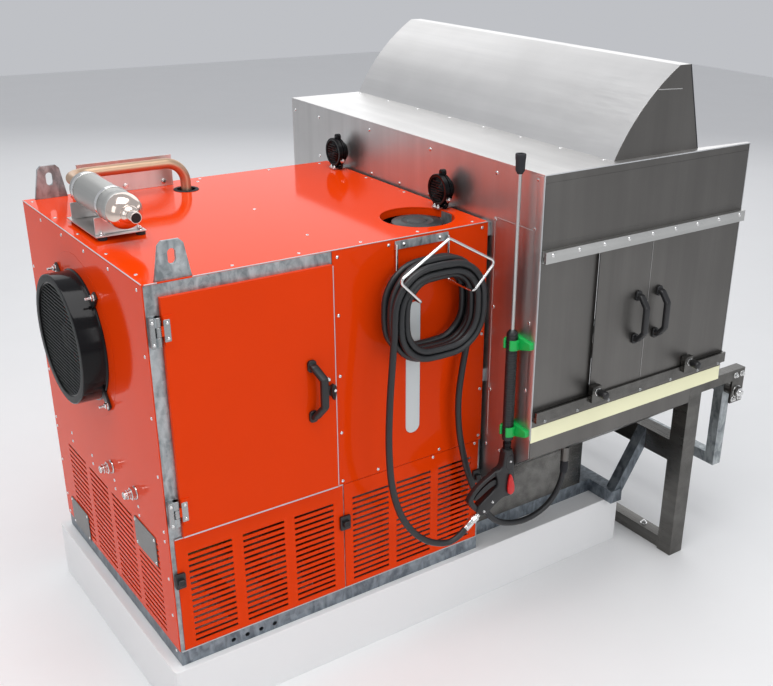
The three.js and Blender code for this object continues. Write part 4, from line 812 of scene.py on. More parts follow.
BY_SLOT: dict[str, Finish] = {
    "orange_paint": ORANGE, "zinc": ZINC, "stainless": STAINLESS_WALL, "bright_steel": BRIGHT,
    "heat_tinted_steel": TINTED, "black_plastic": BLACK_PLASTIC, "black_rubber": RUBBER,
    "cast_iron": IRON, "brass": BRASS, "aluminium": ALUMINIUM, "tank_plastic": TANK_WHITE,
    "green_plastic": GREEN, "red_plastic": RED,
}
BY_NODE: dict[str, Finish] = {
    "base_frame": DARK_ZINC, "chamber_roof": LIT_STAINLESS_ROOF, "chamber_frame": SHADED_STAINLESS_FRAME,
    "chamber_front_wall": STAINLESS_FRONT, "chamber_pan": STAINLESS_FRONT, "sump_tank": SHADED_SUMP_STEEL,
    "lower_rail": SHADED_STAINLESS_FRAME, "upper_rail": ALUMINIUM, "silencer_stand": STAINLESS_WALL,
}


# ------------------------------------------------------------------ pieces
def mesh_object(name: str, patch: Patch, finish: Finish) -> bpy.types.Object:
    """Put a patch into the scene as a mesh.

    Args:
        name: Name of the object.
        patch: Its points and faces, in millimetres of the machine.
        finish: Its finish.

    Returns:
        The object.
    """
    mesh = bpy.data.meshes.new(name)
    mesh.from_pydata(to_frame(patch.points).tolist(), [], patch.faces)
    mesh.materials.append(finish.material())
    thing = bpy.data.objects.new(name, mesh)
    bpy.context.scene.collection.objects.link(thing)
    return thing


def add_piece(name: str, patch: Patch, finish: Finish, body: str = "machine",
              replaces: Sequence[str] = (), angle: float = 35.0) -> bpy.types.Object:
    """Make one clean mesh from a patch and put it on its body.

    Args:
        name: Name of the piece.
        patch: Its points and faces, in millimetres of the machine.
        finish: Its finish.
        body: Body that it rides on.
        replaces: CAD nodes that it stands for.
        angle: Edges sharper than this, in degrees, stay sharp.

    Returns:
        The object.
    """
    piece = mesh_object(name, patch, finish)
    mesh = piece.data
    work = bmesh.new()
    work.from_mesh(mesh)
    bmesh.ops.remove_doubles(work, verts=work.verts, dist=MERGE_DISTANCE)
    bmesh.ops.dissolve_degenerate(work, edges=work.edges, dist=NEEDLE_LENGTH)
    bmesh.ops.recalc_face_normals(work, faces=work.faces)
    work.to_mesh(mesh)
    work.free()
    mesh.polygons.foreach_set("use_smooth", np.ones(len(mesh.polygons), dtype=bool))
    mesh.set_sharp_from_angle(angle=math.radians(angle))
    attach(piece, body)
    if replaces:
        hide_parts(*replaces)
    log.info("%s: %d faces", name, len(mesh.polygons))
    return piece


def merged_copy(name: str, node: str, finish: Finish, body: str = "machine",
                angle: float = 30.0) -> bpy.types.Object:
    """Stand a smooth copy in for a CAD node whose shape is right but faceted.

    Args:
        name: Name of the copy.
        node: CAD node to copy.
        finish: Its finish.
        body: Body that it rides on.
        angle: Edges flatter than this, in degrees, are shaded smooth.

    Returns:
        The object.
    """
    source = bpy.data.objects[node].data
    points = np.empty(len(source.vertices) * 3)
    source.vertices.foreach_get("co", points)
    corners = np.empty(len(source.loops), dtype=int)
    source.loops.foreach_get("vertex_index", corners)
    patch = Patch(points.reshape(-1, 3) * MILLIMETRES + ORIGIN, corners.reshape(-1, 3).tolist())
    return add_piece(name, patch, finish, body, (node,), angle)


# ------------------------------------------------------------------ sub-assemblies
@dataclass
class Studio:
    """Camera at the photograph's angle, pale floor and soft lights."""

    focal: float = 1055.1
    image: tuple[float, float] = (773.0, 686.0)
    centre: tuple[float, float] = (470.0, 385.0)
    place: tuple[float, float, float] = (-1.338, -2.734, 1.926)
    azimuth: float = -38.25
    elevation: float = 24.49
    roll: float = 1.75
    sensor: float = 36.0
    view_depth: float = 60.0
    floor_z: float = -185.0
    floor_size: float = 24000.0

    def camera(self) -> None:
        """Set the camera: columns right, up and back, rolled about the view axis."""
        a, e, r = np.radians([self.azimuth, self.elevation, self.roll])
        back = np.array([math.sin(a) * math.cos(e), -math.cos(a) * math.cos(e), math.sin(e)])
        right = unit(np.cross(Z, back))
        up = np.cross(back, right)
        right, up = math.cos(r) * right + math.sin(r) * up, -math.sin(r) * right + math.cos(r) * up
        data = bpy.data.cameras.new("photo_camera")
        data.sensor_width = self.sensor
        data.sensor_fit = "HORIZONTAL"
        width, height = self.image
        data.lens = self.focal * self.sensor / width
        data.shift_x = (width / 2 - self.centre[0]) / width
        data.shift_y = (self.centre[1] - height / 2) / width
        data.clip_end = self.view_depth
        camera = bpy.data.objects.new("photo_camera", data)
        turn = np.eye(4)
        turn[:3, :3] = np.stack([right, up, back], axis=1)
        turn[:3, 3] = self.place
        camera.matrix_world = Matrix(turn.tolist())
        bpy.context.scene.collection.objects.link(camera)
        bpy.context.scene.camera = camera

    def light(self, name: str, place: Sequence, aim: Sequence, size: tuple[float, float],
              power: float) -> None:
        """Hang one soft area light, whose own face the camera does not see.

        Args:
            name: Name of the light.
            place: Where it hangs, in metres.
            aim: Point that it looks at, in metres.
            size: Width and height of its face.
            power: Power in watts.
        """
        data = bpy.data.lights.new(name, "AREA")
        data.shape = "RECTANGLE"
        data.size, data.size_y = size
        data.energy = power
        lamp = bpy.data.objects.new(name, data)
        lamp.location = place
        lamp.visible_camera = False
        lamp.rotation_euler = (Vector(aim) - Vector(place)).to_track_quat("-Z", "Y").to_euler()
        bpy.context.scene.collection.objects.link(lamp)

    def build(self) -> None:
        """Make floor, plinth, lights, world and camera."""
        floor = plate(rounded(self.floor_size, self.floor_size, 300), Plane.TOP, self.floor_z - 20,
                      self.floor_z - 0.5, 1.0)
        plinth = slab((-30, -20, self.floor_z - 1), (1660, 925, -0.4), 2.0, 12.0)
        for name, patch in (("studio_floor", floor), ("studio_plinth", plinth)):
            thing = mesh_object(name, patch, FLOOR)
        self.light("overhead_softbox", (-0.6, -0.8, 4.6), (0.2, 0.1, 0.6), (4.0, 3.0), 135)
        self.light("left_softbox", (-4.6, -0.6, 2.4), (-0.3, 0, 0.6), (2.4, 2.6), 22)
        self.light("front_softbox", (1.2, -5.2, 2.6), (0.4, 0, 0.6), (3.4, 2.4), 58)
        self.light("backdrop_softbox", (3.5, 5.0, 3.8), (0.4, 0.2, 1.1), (8.0, 5.0), 112)
        world = bpy.data.worlds.new("pale_studio")
        world.use_nodes = True
        sky = world.node_tree.nodes["Background"]
        sky.inputs["Color"].default_value = (0.93, 0.95, 1.0, 1.0)
        sky.inputs["Strength"].default_value = 0.56
        bpy.context.scene.world = world
        bpy.context.scene.view_settings.view_transform = "Standard"
        self.camera()


@dataclass
class HoseRun:
    """High-pressure hose: from its supply fitting, round the hook's coil, to the gun."""

    diameter: float = 20.0
    centre: tuple[float, float, float] = (788.5, -102.0, 903.2)
    corner_radius: float = 124.0
    flat_half: tuple[float, float] = (32.0, 18.5)
    loops: float = 8.5
    layers: int = 4
    pitch: float = 20.8
    layer_pitch: float = 21.4
    points_per_loop: int = 40
    layer_ramp: float = 0.5
    flat_sharpness: float = 8.0
    supply: tuple[float, float, float] = (1345.0, -50.0, 250.0)
    stated_length: float = 9.26
    coupling_start: tuple[float, float, float] = (902.0, -150.0, 246.0)
    coupling_axis: tuple[float, float, float] = (-0.8, 0.0, -0.6)

    def coil(self) -> np.ndarray:
        """Wind the coil.

        The radius runs in and out by one pitch per loop, layer on layer, the
        layers joined by short ramps, and flats push the turns apart into a
        rounded rectangle.

        Returns:
            Points from turn 0 to the last turn.
        """
        turn = np.linspace(0, self.loops, round(self.loops * self.points_per_loop) + 1)
        per_layer = self.loops / self.layers
        phase = (turn / per_layer) % 2
        inward = per_layer * np.where(phase > 1, 2 - phase, phase)
        radius = self.corner_radius - self.pitch * inward
        steps = np.arange(1, self.layers)[:, None] * per_layer
        layer = np.clip((turn[None] - steps) / self.layer_ramp + 0.5, 0, 1).sum(0)
        angle = np.pi - 2 * np.pi * turn
        cos, sin = np.cos(angle), np.sin(angle)
        flat = np.tanh(self.flat_sharpness * np.stack([cos, sin]))
        x = self.centre[0] + radius * cos + flat[0] * self.flat_half[0]
        y = self.centre[1] + self.layer_pitch * layer
        z = self.centre[2] + radius * sin + flat[1] * self.flat_half[1]
        return np.stack([x, y, z], axis=-1)

    def route(self) -> np.ndarray:
        """Join supply run, coil and gun run into one centreline.

        Returns:
            Its points, from the supply fitting to the gun.
        """
        z = self.centre[2]
        to_gun = [(632.5, -102, z - 0.3), (632.5, -102, z - 26), (624, -104, 790), (612, -108, 665),
                  (606, -113, 535), (613, -120, 412), (643, -128, 308), (692, -136, 236),
                  (748, -143, 196), (800, -148, 183), (832.72, -150, 194.04), (853.52, -150, 209.64)]
        x, y, top = self.supply
        supply = [(944.5, -37.8, z - 0.3), (944.5, -37.8, z - 26), (935, -38, 795), (915, -40, 700),
                  (900, -42, 600), (902, -44, 500), (920, -46, 400), (950, -48, 300), (997, y, 195),
                  (1060, y, 115), (1140, y, 80), (1220, y, 78), (1288, y, 106),
                  (1330, y, 160), (x, y, top - 26), (x, y, top - 0.3)]
        return np.vstack([catmull_rom(supply)[::-1][:-1], self.coil()[::-1], catmull_rom(to_gun)[1:]])

    def build(self) -> None:
        """Make the hose, its coupling and its sleeve."""
        route = self.route()
        curve = bpy.data.curves.new("pressure_hose", "CURVE")
        curve.dimensions = "3D"
        spline = curve.splines.new("POLY")
        spline.points.add(len(route) - 1)
        points = np.ones((len(route), 4))
        points[:, :3] = to_frame(route)
        spline.points.foreach_set("co", points.ravel())
        curve.bevel_depth = self.diameter / 2 / MILLIMETRES
        curve.bevel_resolution = 3
        curve.use_fill_caps = True
        curve.materials.append(HOSE.material())
        hose = bpy.data.objects.new("pressure_hose", curve)
        bpy.context.scene.collection.objects.link(hose)
        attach(hose, "machine")
        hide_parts("hose_coil", "hose_to_gun", "hose_supply")
        length = np.linalg.norm(np.diff(route, axis=0), axis=1).sum() / MILLIMETRES
        log.info("pressure_hose: %.2f m on its centreline", length)
        coupling = self.coupling()
        end = [(0, 10.2), (0.8, 12.4), (3, 13.2), (34, 13.2), (38, 12.2), (46, 10.9), (46, 10.1), (0, 10.1)]
        sleeve = turned(np.array(self.supply) - Z, -Z, end, 24, closed=True)
        add_piece("hose_guard_sleeve", sleeve, RUBBER)

    def coupling(self) -> bpy.types.Object:
        """Make the two-section coupling that joins hose and gun.

        Returns:
            The object.
        """
        start, axis = np.array(self.coupling_start), np.array(self.coupling_axis)
        body = [(0.3, 8.5), (1.0, 9.6), (9, 9.6), (9.6, 12.6), (10.6, 13.2), (27, 13.2), (28, 12.4),
                (28.6, 10.4), (31, 10.0), (31.8, 11.2), (50, 11.2), (51, 10.8)]
        ridges = [(51.5 + k * 1.4, 11.3 if k % 2 else 10.8) for k in range(5)]
        profile = body + ridges + [(59.4, 11.0), (60.0, 10.3), (60.3, 0.0)]
        patch = turned(start, axis, profile, 28)
        patch += turned(start, axis, [(10.4, 13.4), (11, 14.4), (16, 14.4), (16.6, 13.4)], 6)
        return add_piece("hose_coupling_body", patch, BRIGHT, replaces=("hose_coupling",))


@dataclass
class HoseHook:
    """Bent rod hook on its strap, with a pentagon loop that holds the coil."""

    rod: float = 4.0
    centre: float = 788.5
    leg_half: float = 86.5
    top: float = 1088.0
    arm: float = 958.0
    reach: float = -130.0
    flare_half: float = 160.0
    flare: float = 1031.0
    apex: float = 1122.0
    rod_y: float = -9.5
    bend: float = 12.0
    strap_z: float = 1084.0
    strap_size: tuple[float, float] = (179.0, 24.0)
    bolt_half: float = 60.5

    def build(self) -> None:
        """Bend the rod in one piece and set the strap with its bolts."""
        legs = []
        for side in (-1, 1):
            x = self.centre + side * self.leg_half
            legs.append([(x, self.rod_y, self.top), (x, self.rod_y, self.arm), (x, self.reach, self.arm),
                         (self.centre + side * self.flare_half, self.reach, self.flare),
                         (self.centre, self.reach, self.apex)])
        path = fillet(legs[0] + legs[1][::-1][1:], self.bend, 6)
        rod = swept(path, round_section(self.rod, 12))
        add_piece("hose_hook_rod", rod, BRIGHT, replaces=("hose_hook",))
        outline = rounded(*self.strap_size, 2, (self.centre, self.strap_z))
        strap = plate(outline, Plane.FRONT, SIDE_SKIN - 2.9, SIDE_SKIN - 0.2, 0.5)
        add_piece("hook_strap", strap, ZINC)
        places = [(self.centre + side * self.bolt_half, self.strap_z) for side in (-1, 1)]
        heads = on_face(Plane.FRONT, SIDE_SKIN - 2.8, places)
        add_piece("hook_strap_bolts", rivets(-Y, heads, 6.4, 3.4), BRIGHT)


@dataclass
class Cowl:
    """Black fan cowl on the cabinet's end: ring, wire mesh, clamps and fan."""

    y: float = 485.0
    z: float = 818.0
    radius: float = 181.0
    depth: float = 66.7
    lip: float = 22.0
    bar_pitch: float = 10.8
    bar_count: int = 14
    bar_radius: float = 2.4
    stays: tuple[float, ...] = (-100.0, -34.0, 34.0, 100.0)
    sheet_reach: float = 231.0
    foot: float = -3.3
    blades: int = 8
    corners: tuple[tuple[float, float], ...] = ((634, 971), (336, 972), (330, 666), (634, 666))

    def ring(self) -> None:
        """Turn the ring: flange, outer wall, rounded rim, face and inner wall."""
        d, r, lip = self.depth, self.radius, self.lip
        outer = [(0.0, r + 4), (2.4, r + 4), (3.2, r + 3), (5.0, r + 0.6), (7.5, r), (d - 4.0, r),
                 (d - 1.2, r - 0.9), (d - 0.1, r - 3.2)]
        inner = [(d - 0.1, r - 3.3), (d - 2.5, r - 4.5), (d - 2.5, r - lip - 3), (0.0, r - lip - 3)]
        start = (self.foot, self.y, self.z)
        add_piece("cowl_ring", turned(start, -X, outer + inner, 96, closed=True), BLACK_GLOSS,
                  replaces=("fan_cowl",))
        face = [(d - 2.4, r - 3.6), (d - 0.4, r - 3.6), (d, r - 4.2), (d, r - lip + 1), (d - 0.8, r - lip),
                (d - 2.4, r - lip)]
        add_piece("cowl_face_rim", turned(start, -X, face, 96, closed=True), GREY_RIM)
        cover = [(-0.2, r - lip), (-0.2, self.sheet_reach), (0.15, self.sheet_reach - 0.3), (0.15, r - lip)]
        add_piece("cowl_mount_sheet", turned(start, -X, cover, 96, closed=True), ORANGE)

    def grille(self) -> None:
        """Set level bars across the opening, each a chord of half length sqrt(reach^2 - height^2)."""
        reach = self.radius - self.lip - 1.5
        offsets = np.arange(-self.bar_count, self.bar_count + 1) * self.bar_pitch
        half = np.sqrt(reach ** 2 - offsets ** 2)
        middle = np.array([self.foot - self.depth + 8, self.y, self.z]) + offsets[:, None] * Z
        weave = bars(middle - half[:, None] * Y, middle + half[:, None] * Y, self.bar_radius, 8)
        stays = np.array(self.stays)
        tall = np.sqrt(reach ** 2 - stays ** 2)
        root = np.array([self.foot - self.depth + 13, self.y, self.z]) + stays[:, None] * Y
        weave += bars(root - tall[:, None] * Z, root + tall[:, None] * Z, 2.0, 6)
        hold = [(self.depth - 16, reach + 1.6), (self.depth - 5, reach + 1.6), (self.depth - 5, reach - 3),
                (self.depth - 16, reach - 3)]
        weave += turned((self.foot, self.y, self.z), -X, hold, 72, closed=True)
        add_piece("cowl_level_bars", weave, DARK_MESH, replaces=("cowl_grille",))

    def fan(self) -> None:
        """Build the fan: each blade carries a lens section outwards while its pitch eases."""
        low, high = node_box("fan")
        middle, width = (low + high) / 2, high[0] - low[0]
        tip = (high[1] - low[1]) / 2 - 1
        radial = np.linspace(38, tip, 9)
        pitch = np.linspace(0.95, 0.5, 9)
        chord = np.linspace(34, 66, 9) * min(1.0, width / 52)
        angle = 2 * np.pi * np.arange(14) / 14
        flat, thick = np.cos(angle)[None] * chord[:, None] / 2, np.sin(angle)[None] * 1.6
        x = flat * np.sin(pitch)[:, None] + thick * np.cos(pitch)[:, None]
        tangent = flat * np.cos(pitch)[:, None] - thick * np.sin(pitch)[:, None]
        out = np.broadcast_to(radial[:, None], x.shape)
        wheel = turned(middle + (width / 2 - 2, 0, 0), -X,
                       [(0, 36)] + [(d, 41 - (d < 1)) for d in (1, width - 8)] +
                       [(width - 4, 36), (width - 3, 22), (width - 3, 0)], 40)
        for spin in 2 * np.pi * np.arange(self.blades) / self.blades:
            y = out * math.cos(spin) - tangent * math.sin(spin)
            z = out * math.sin(spin) + tangent * math.cos(spin)
            wheel += grid(np.stack([x, y, z], axis=-1) + middle, columns_meet=True, caps=(True, True))
        add_piece("cooling_fan", wheel, BLACK_PLASTIC, "crankshaft", ("fan",))

    def clamps(self) -> None:
        """Set the four clamps outside the ring: a radial lug and a long bright bolt each."""
        corner = np.array(self.corners, dtype=float)
        away = unit(corner - (self.y, self.z))
        beside = np.stack([-away[:, 1], away[:, 0]], axis=-1)
        lugs = []
        for place, out, side in zip(corner, away, beside):
            root = np.array([self.y, self.z]) + out * (self.radius - 2)
            tip = place + out * 12
            outline = np.array([root - side * 15, tip - side * 11, tip + side * 11, root + side * 15])
            lugs.append(plate(outline, Plane.SIDE, -11.0, -4.4, 1.0))
        add_piece("cowl_clamp_lugs", joined(lugs), BLACK_PLASTIC)
        studs = bolts(-X, on_face(Plane.SIDE, -11.0, corner), 8, 11, 15)
        add_piece("cowl_clamp_bolts", studs, BRIGHT)

    def build(self) -> None:
        """Build the whole cowl."""
        self.ring()
        self.grille()
        self.fan()
        self.clamps()


@dataclass
class Exhaust:
    """Silencer on its stand and the heat-tinted pipe that bends into its back."""

    x: float = 92.0
    z: float = 1190.0
    radius: float = 46.0
    back: float = 620.0
    front: float = 333.0
    pipe_radius: float = 15.5
    pipe_y: float = 775.0
    hole_x: float = 450.0
    bend: float = 62.0
    saddles: tuple[float, float] = (400.0, 579.0)
    foot_x: tuple[float, float] = (50.0, 153.0)
    foot_y: tuple[float, float] = (392.0, 593.0)
    tray_top: float = 1116.6
    saddle_half: float = 57.0
    saddle_top: float = 1162.0
    shield_y: float = 849.4

    def can(self) -> None:
        """Turn the can with its seam beads, and the stepped dome with the thin tailpipe, its mouth closed by
        a near-black disk of soot and painted shade.
        """
        long, r = self.back - self.front, self.radius
        back, front = (self.x, self.back, self.z), (self.x, self.front, self.z)
        low = [(0, 0), (0, r - 14), (2.5, r - 8), (8, r - 3), (15, r - 0.6), (20, r), (24, r + 0.9),
               (29, r + 0.9), (33, r - 0.2)]
        high = [(long - d, radius) for d, radius in low[:0:-1]]
        high[-1:] = [(long - 1, r - 7.5), (long, 0)]
        add_piece("silencer_can", turned(back, -Y, low + high, 64), CAN_STEEL,
                  replaces=("silencer",))
        dome = [(0, r - 3), (1, r + 0.8), (3, r + 1.4), (8, r + 1.2), (18, r - 1), (28, r - 5), (36, r - 11),
                (41, r - 18), (43, 24), (48, 23.4), (54, 21), (57, 17), (59, 15.4), (86, 15.2), (87, 14.6),
                (87, 12.6), (85.5, 12.2), (85.5, 0)]
        add_piece("silencer_dome_cap", turned(front, -Y, dome, 56), COPPER_DOME)
        # The bore ends in a near-black disk just proud of the closed tailpipe: painted shade of a deep bore,
        # with soot.
        bore = [(60, 0), (60, 11.0), (86, 11.2), (87.3, 11.6), (87.2, 12.5)]
        add_piece("tailpipe_bore", turned(front, -Y, bore, 32), BORE_SOOT_AND_SHADE)
        wide, proud = 14.0, r + 2.2
        loop = [(0, r), (0, proud), (wide, proud), (wide, r)]
        band = turned((self.x, wide / 2, self.z), -Y, loop, 64, closed=True)
        add_piece("silencer_bands", band.copied([(0, y, 0) for y in self.saddles]), BRIGHT)

    def pipe(self) -> None:
        """Bend the pipe: up from the roof, over to the can's line, and forward into its back."""
        r = self.pipe_radius
        path = fillet([(self.hole_x, self.pipe_y, 1099), (self.hole_x, self.pipe_y, self.z),
                       (self.x, self.pipe_y, self.z), (self.x, self.back - 4, self.z)], self.bend, 14)
        outer = swept(path, round_section(r, 28))
        add_piece("exhaust_bent_pipe", outer, TINTED, replaces=("exhaust_pipe",))
        collar = [(0, r - 1), (0, r + 3.4), (1, r + 4), (15, r + 4), (16, r + 3.4), (16, r - 1)]
        ring = turned((self.x, self.back + 22, self.z), -Y, collar, 36, closed=True)
        ear = slab((self.x - 4, self.back + 8, self.z + r + 2),
                   (self.x + 4, self.back + 20, self.z + r + 14), 0.8)
        screw = bolts(-X, [(self.x - 4.4, self.back + 14, self.z + r + 8)], 5, 6.5, 4)
        add_piece("exhaust_clamp", ring + ear + screw, BRIGHT)
        rim = turned((self.hole_x, self.pipe_y, TOP_SKIN + 0.1), Z,
                     [(0, 27.5), (0, 38.5), (1.4, 38.0), (2.0, 36.5), (2.0, 28.2)], 48, closed=True)
        add_piece("pipe_hole_rim", rim, RUBBER)

    def stand(self) -> None:
        """Cut the two saddle plates round the can and set rubber feet, nuts and shield bolts."""
        half, top, clear = self.saddle_half, self.saddle_top, self.radius + 1.5
        reach = math.asin((self.z - top) / clear)
        angle = np.linspace(-reach, reach - np.pi, 19)
        cradle = np.stack([self.x + clear * np.cos(angle), self.z + clear * np.sin(angle)], axis=-1)
        foot = self.tray_top + 0.4
        corners = [(self.x - half, foot), (self.x + half, foot), (self.x + half, top)]
        outline = np.vstack([corners, cradle, [(self.x - half, top)]])
        plates = plate(outline, Plane.FRONT, -3.2, -0.3, 0.4).copied([(0, y, 0) for y in self.saddles])
        add_piece("silencer_saddle_plates", plates, STAINLESS_WALL)
        places = [(x, y, self.tray_top - 0.2) for x in self.foot_x for y in self.foot_y]
        add_piece("stand_foot_nuts", bolts(Z, places, 6, 9, 4), BRIGHT)
        grips = turned((0, 0, 0), Z, [(0, 10.5), (1, 12.4), (4.6, 12.8), (8.4, 12.4), (9.6, 10.5)], 24)
        feet = grips.copied([(x, y, TOP_SKIN + 0.2) for x, y, _ in places])
        add_piece("stand_rubber_feet", feet, RUBBER)
        shield = [(x, self.shield_y, 1118) for x in (160, 290, 410)]
        add_piece("shield_bolts", bolts(-Y, shield, 5.5, 8), BRIGHT)

    def build(self) -> None:
        """Build silencer, pipe and stand."""
        self.can()
        self.pipe()
        self.stand()


@dataclass
class DoorFurniture:
    """Handle, quarter-turn latch, hinges and painted edge highlights of the cabinet door."""

    handle_x: float = 440.0
    handle_z: float = 727.0
    face: float = -12.3
    latch: tuple[float, float] = (484.0, 715.0)
    grip_y: float = -47.0
    hinge_pin: tuple[float, float] = (22.0, -11.0)
    hinge_levels: tuple[tuple[str, float], ...] = (("upper", 985.0), ("lower", 485.0))
    hinge_face: float = -18.1
    knuckle_radius: float = 8.5
    knuckle_length: float = 25.0

    def handle(self) -> None:
        """Sweep the bow: flat feet, slanting arms and a straight grip with chamfered section."""
        z, half, near, far = self.handle_z, 66.0, self.handle_x - 14, self.handle_x + 5
        shoulder = self.handle_x - 12
        path = fillet([(near, self.face - 1, z + half + 10), (shoulder, self.face - 16, z + half + 6),
                       (far, self.grip_y, z + half - 26), (far, self.grip_y, z - half + 26),
                       (shoulder, self.face - 16, z - half - 6), (near, self.face - 1, z - half - 10)],
                       7.0, 4)
        grip = swept(path, rounded(15, 22, 4.6, steps=3), up=X)
        for side in (1, -1):
            foot = rounded(25, 34, 9, (near, z + side * (half + 8)))
            grip += plate(foot, Plane.FRONT, self.face - 9, self.face - 0.3, 1.8)
        add_piece("door_bow_handle", grip, BLACK_PLASTIC, "cabinet_door", ("door_handle",))
        screws = on_face(Plane.FRONT, self.face - 9, [(near, z + half + 10), (near, z - half - 10)])
        add_piece("door_handle_screws", rivets(-Y, screws, 5, 1.6), BLACK_GLOSS,
                  "cabinet_door")

    def quarter_turn(self) -> None:
        """Build the latch: round boss, drop-shaped wing with two flanks and a plated nose."""
        x, z = self.latch
        turn = np.linspace(0, 2 * np.pi, 40, endpoint=False)
        drop = np.stack([x + np.sin(turn) * (7.6 + 2.6 * np.cos(turn)), z + 23.5 * np.cos(turn)], axis=-1)
        wing = plate(drop, Plane.FRONT, -34.0, -20.5, 2.6)
        wing += plate((drop - (x, z)) * (0.55, 0.72) + (x, z), Plane.FRONT, -37.5, -33.0, 1.6)
        boss = [(0, 14.5), (1, 15.5), (5, 15.5), (7, 13), (9.5, 11.5), (9.5, 0)]
        wing += turned((x, self.face - 0.3, z), -Y, boss, 32)
        wing += turned((x, self.face - 9, z), Y, [(0, 5.5), (18, 5.5), (18.6, 5.0)], 16)
        wing += slab((x - 6, 2, z - 6), (x + 11, 5, z + 6), 0.6)
        add_piece("door_latch_wing", wing, BLACK_PLASTIC, "quarter_turn_latch",
                  ("door_latch",))
        nose = turned((x, -37.3, z + 8), -Y, [(0, 4.4), (1.5, 4.4), (2.2, 3.6), (2.2, 0)], 20)
        barrel = [(0, 7.2), (1, 7.6), (4.5, 7.6), (6.5, 5.5), (7.2, 0)]
        key = turned((x - 9, self.face - 0.3, z + 34), -Y, barrel, 24)
        add_piece("latch_bright_nose", nose, BRIGHT, "quarter_turn_latch")
        add_piece("door_key_lock", key, BRIGHT, "cabinet_door")

    def hinges(self) -> None:
        """Build both hinges: screwed leaves, outer knuckles on the frame, middle one on the door."""
        face, pin = self.hinge_face, self.hinge_pin
        long, r = self.knuckle_length, self.knuckle_radius
        knuckle = [(0, 0), (0, r - 0.9), (0.9, r), (long - 0.9, r), (long, r - 0.9), (long, 0)]
        for name, level in self.hinge_levels:
            frame_leaf = plate(rounded(12, 76, 2.5, (6, level)), Plane.FRONT, face - 3.1, face, 0.8)
            door_leaf = plate(rounded(17, 58, 2.5, (44, level)), Plane.FRONT, self.face - 3.4,
                              self.face - 0.2, 0.8)
            fixed = on_face(Plane.FRONT, face - 3.0, [(6, level + 28), (6, level - 28)])
            swung = on_face(Plane.FRONT, self.face - 3.2, [(45, level + 20), (45, level - 20)])
            outer = turned((*pin, level - 38), Z, knuckle, 24).copied([0 * Z, 51 * Z])
            middle = turned((*pin, level - long / 2), Z, knuckle, 24)
            parts = ((f"hinge_leaf_{name}_frame", frame_leaf, PLATED, "machine"),
                     (f"hinge_leaf_{name}_door", door_leaf, PLATED, "cabinet_door"),
                     (f"hinge_screws_{name}_frame", rivets(-Y, fixed, 4.6, 2.4), BRIGHT, "machine"),
                     (f"hinge_screws_{name}_door", rivets(-Y, swung, 4.6, 2.4), BRIGHT, "cabinet_door"),
                     (f"hinge_knuckles_{name}_frame", outer, PLATED, "machine"),
                     (f"hinge_knuckle_{name}_door", middle, PLATED, "cabinet_door"))
            for piece, patch, finish, body in parts:
                add_piece(piece, patch, finish, body)

    def door_highlight_strips(self) -> None:
        """Lay painted highlights, thin bright strips, along the folded edges round the door and panels."""
        edge = slab((35, -13.2, 406.4), (499, -10.8, 410.4), 0.4, 0.6)
        add_piece("door_lower_painted_highlight", edge, EDGE_HIGHLIGHT_PAINT, "cabinet_door")
        strip = slab((500.6, -5.4, 408), (507.0, -3.1, 1062), 0.3, 0.4)
        sill = slab((12, -4.9, 402.0), (519, -3.1, 405.6), 0.3, 0.4)
        add_piece("door_jamb_painted_highlight", strip + sill, EDGE_HIGHLIGHT_PAINT)

    def build(self) -> None:
        """Build everything on the door."""
        self.handle()
        self.quarter_turn()
        self.hinges()
        self.door_highlight_strips()


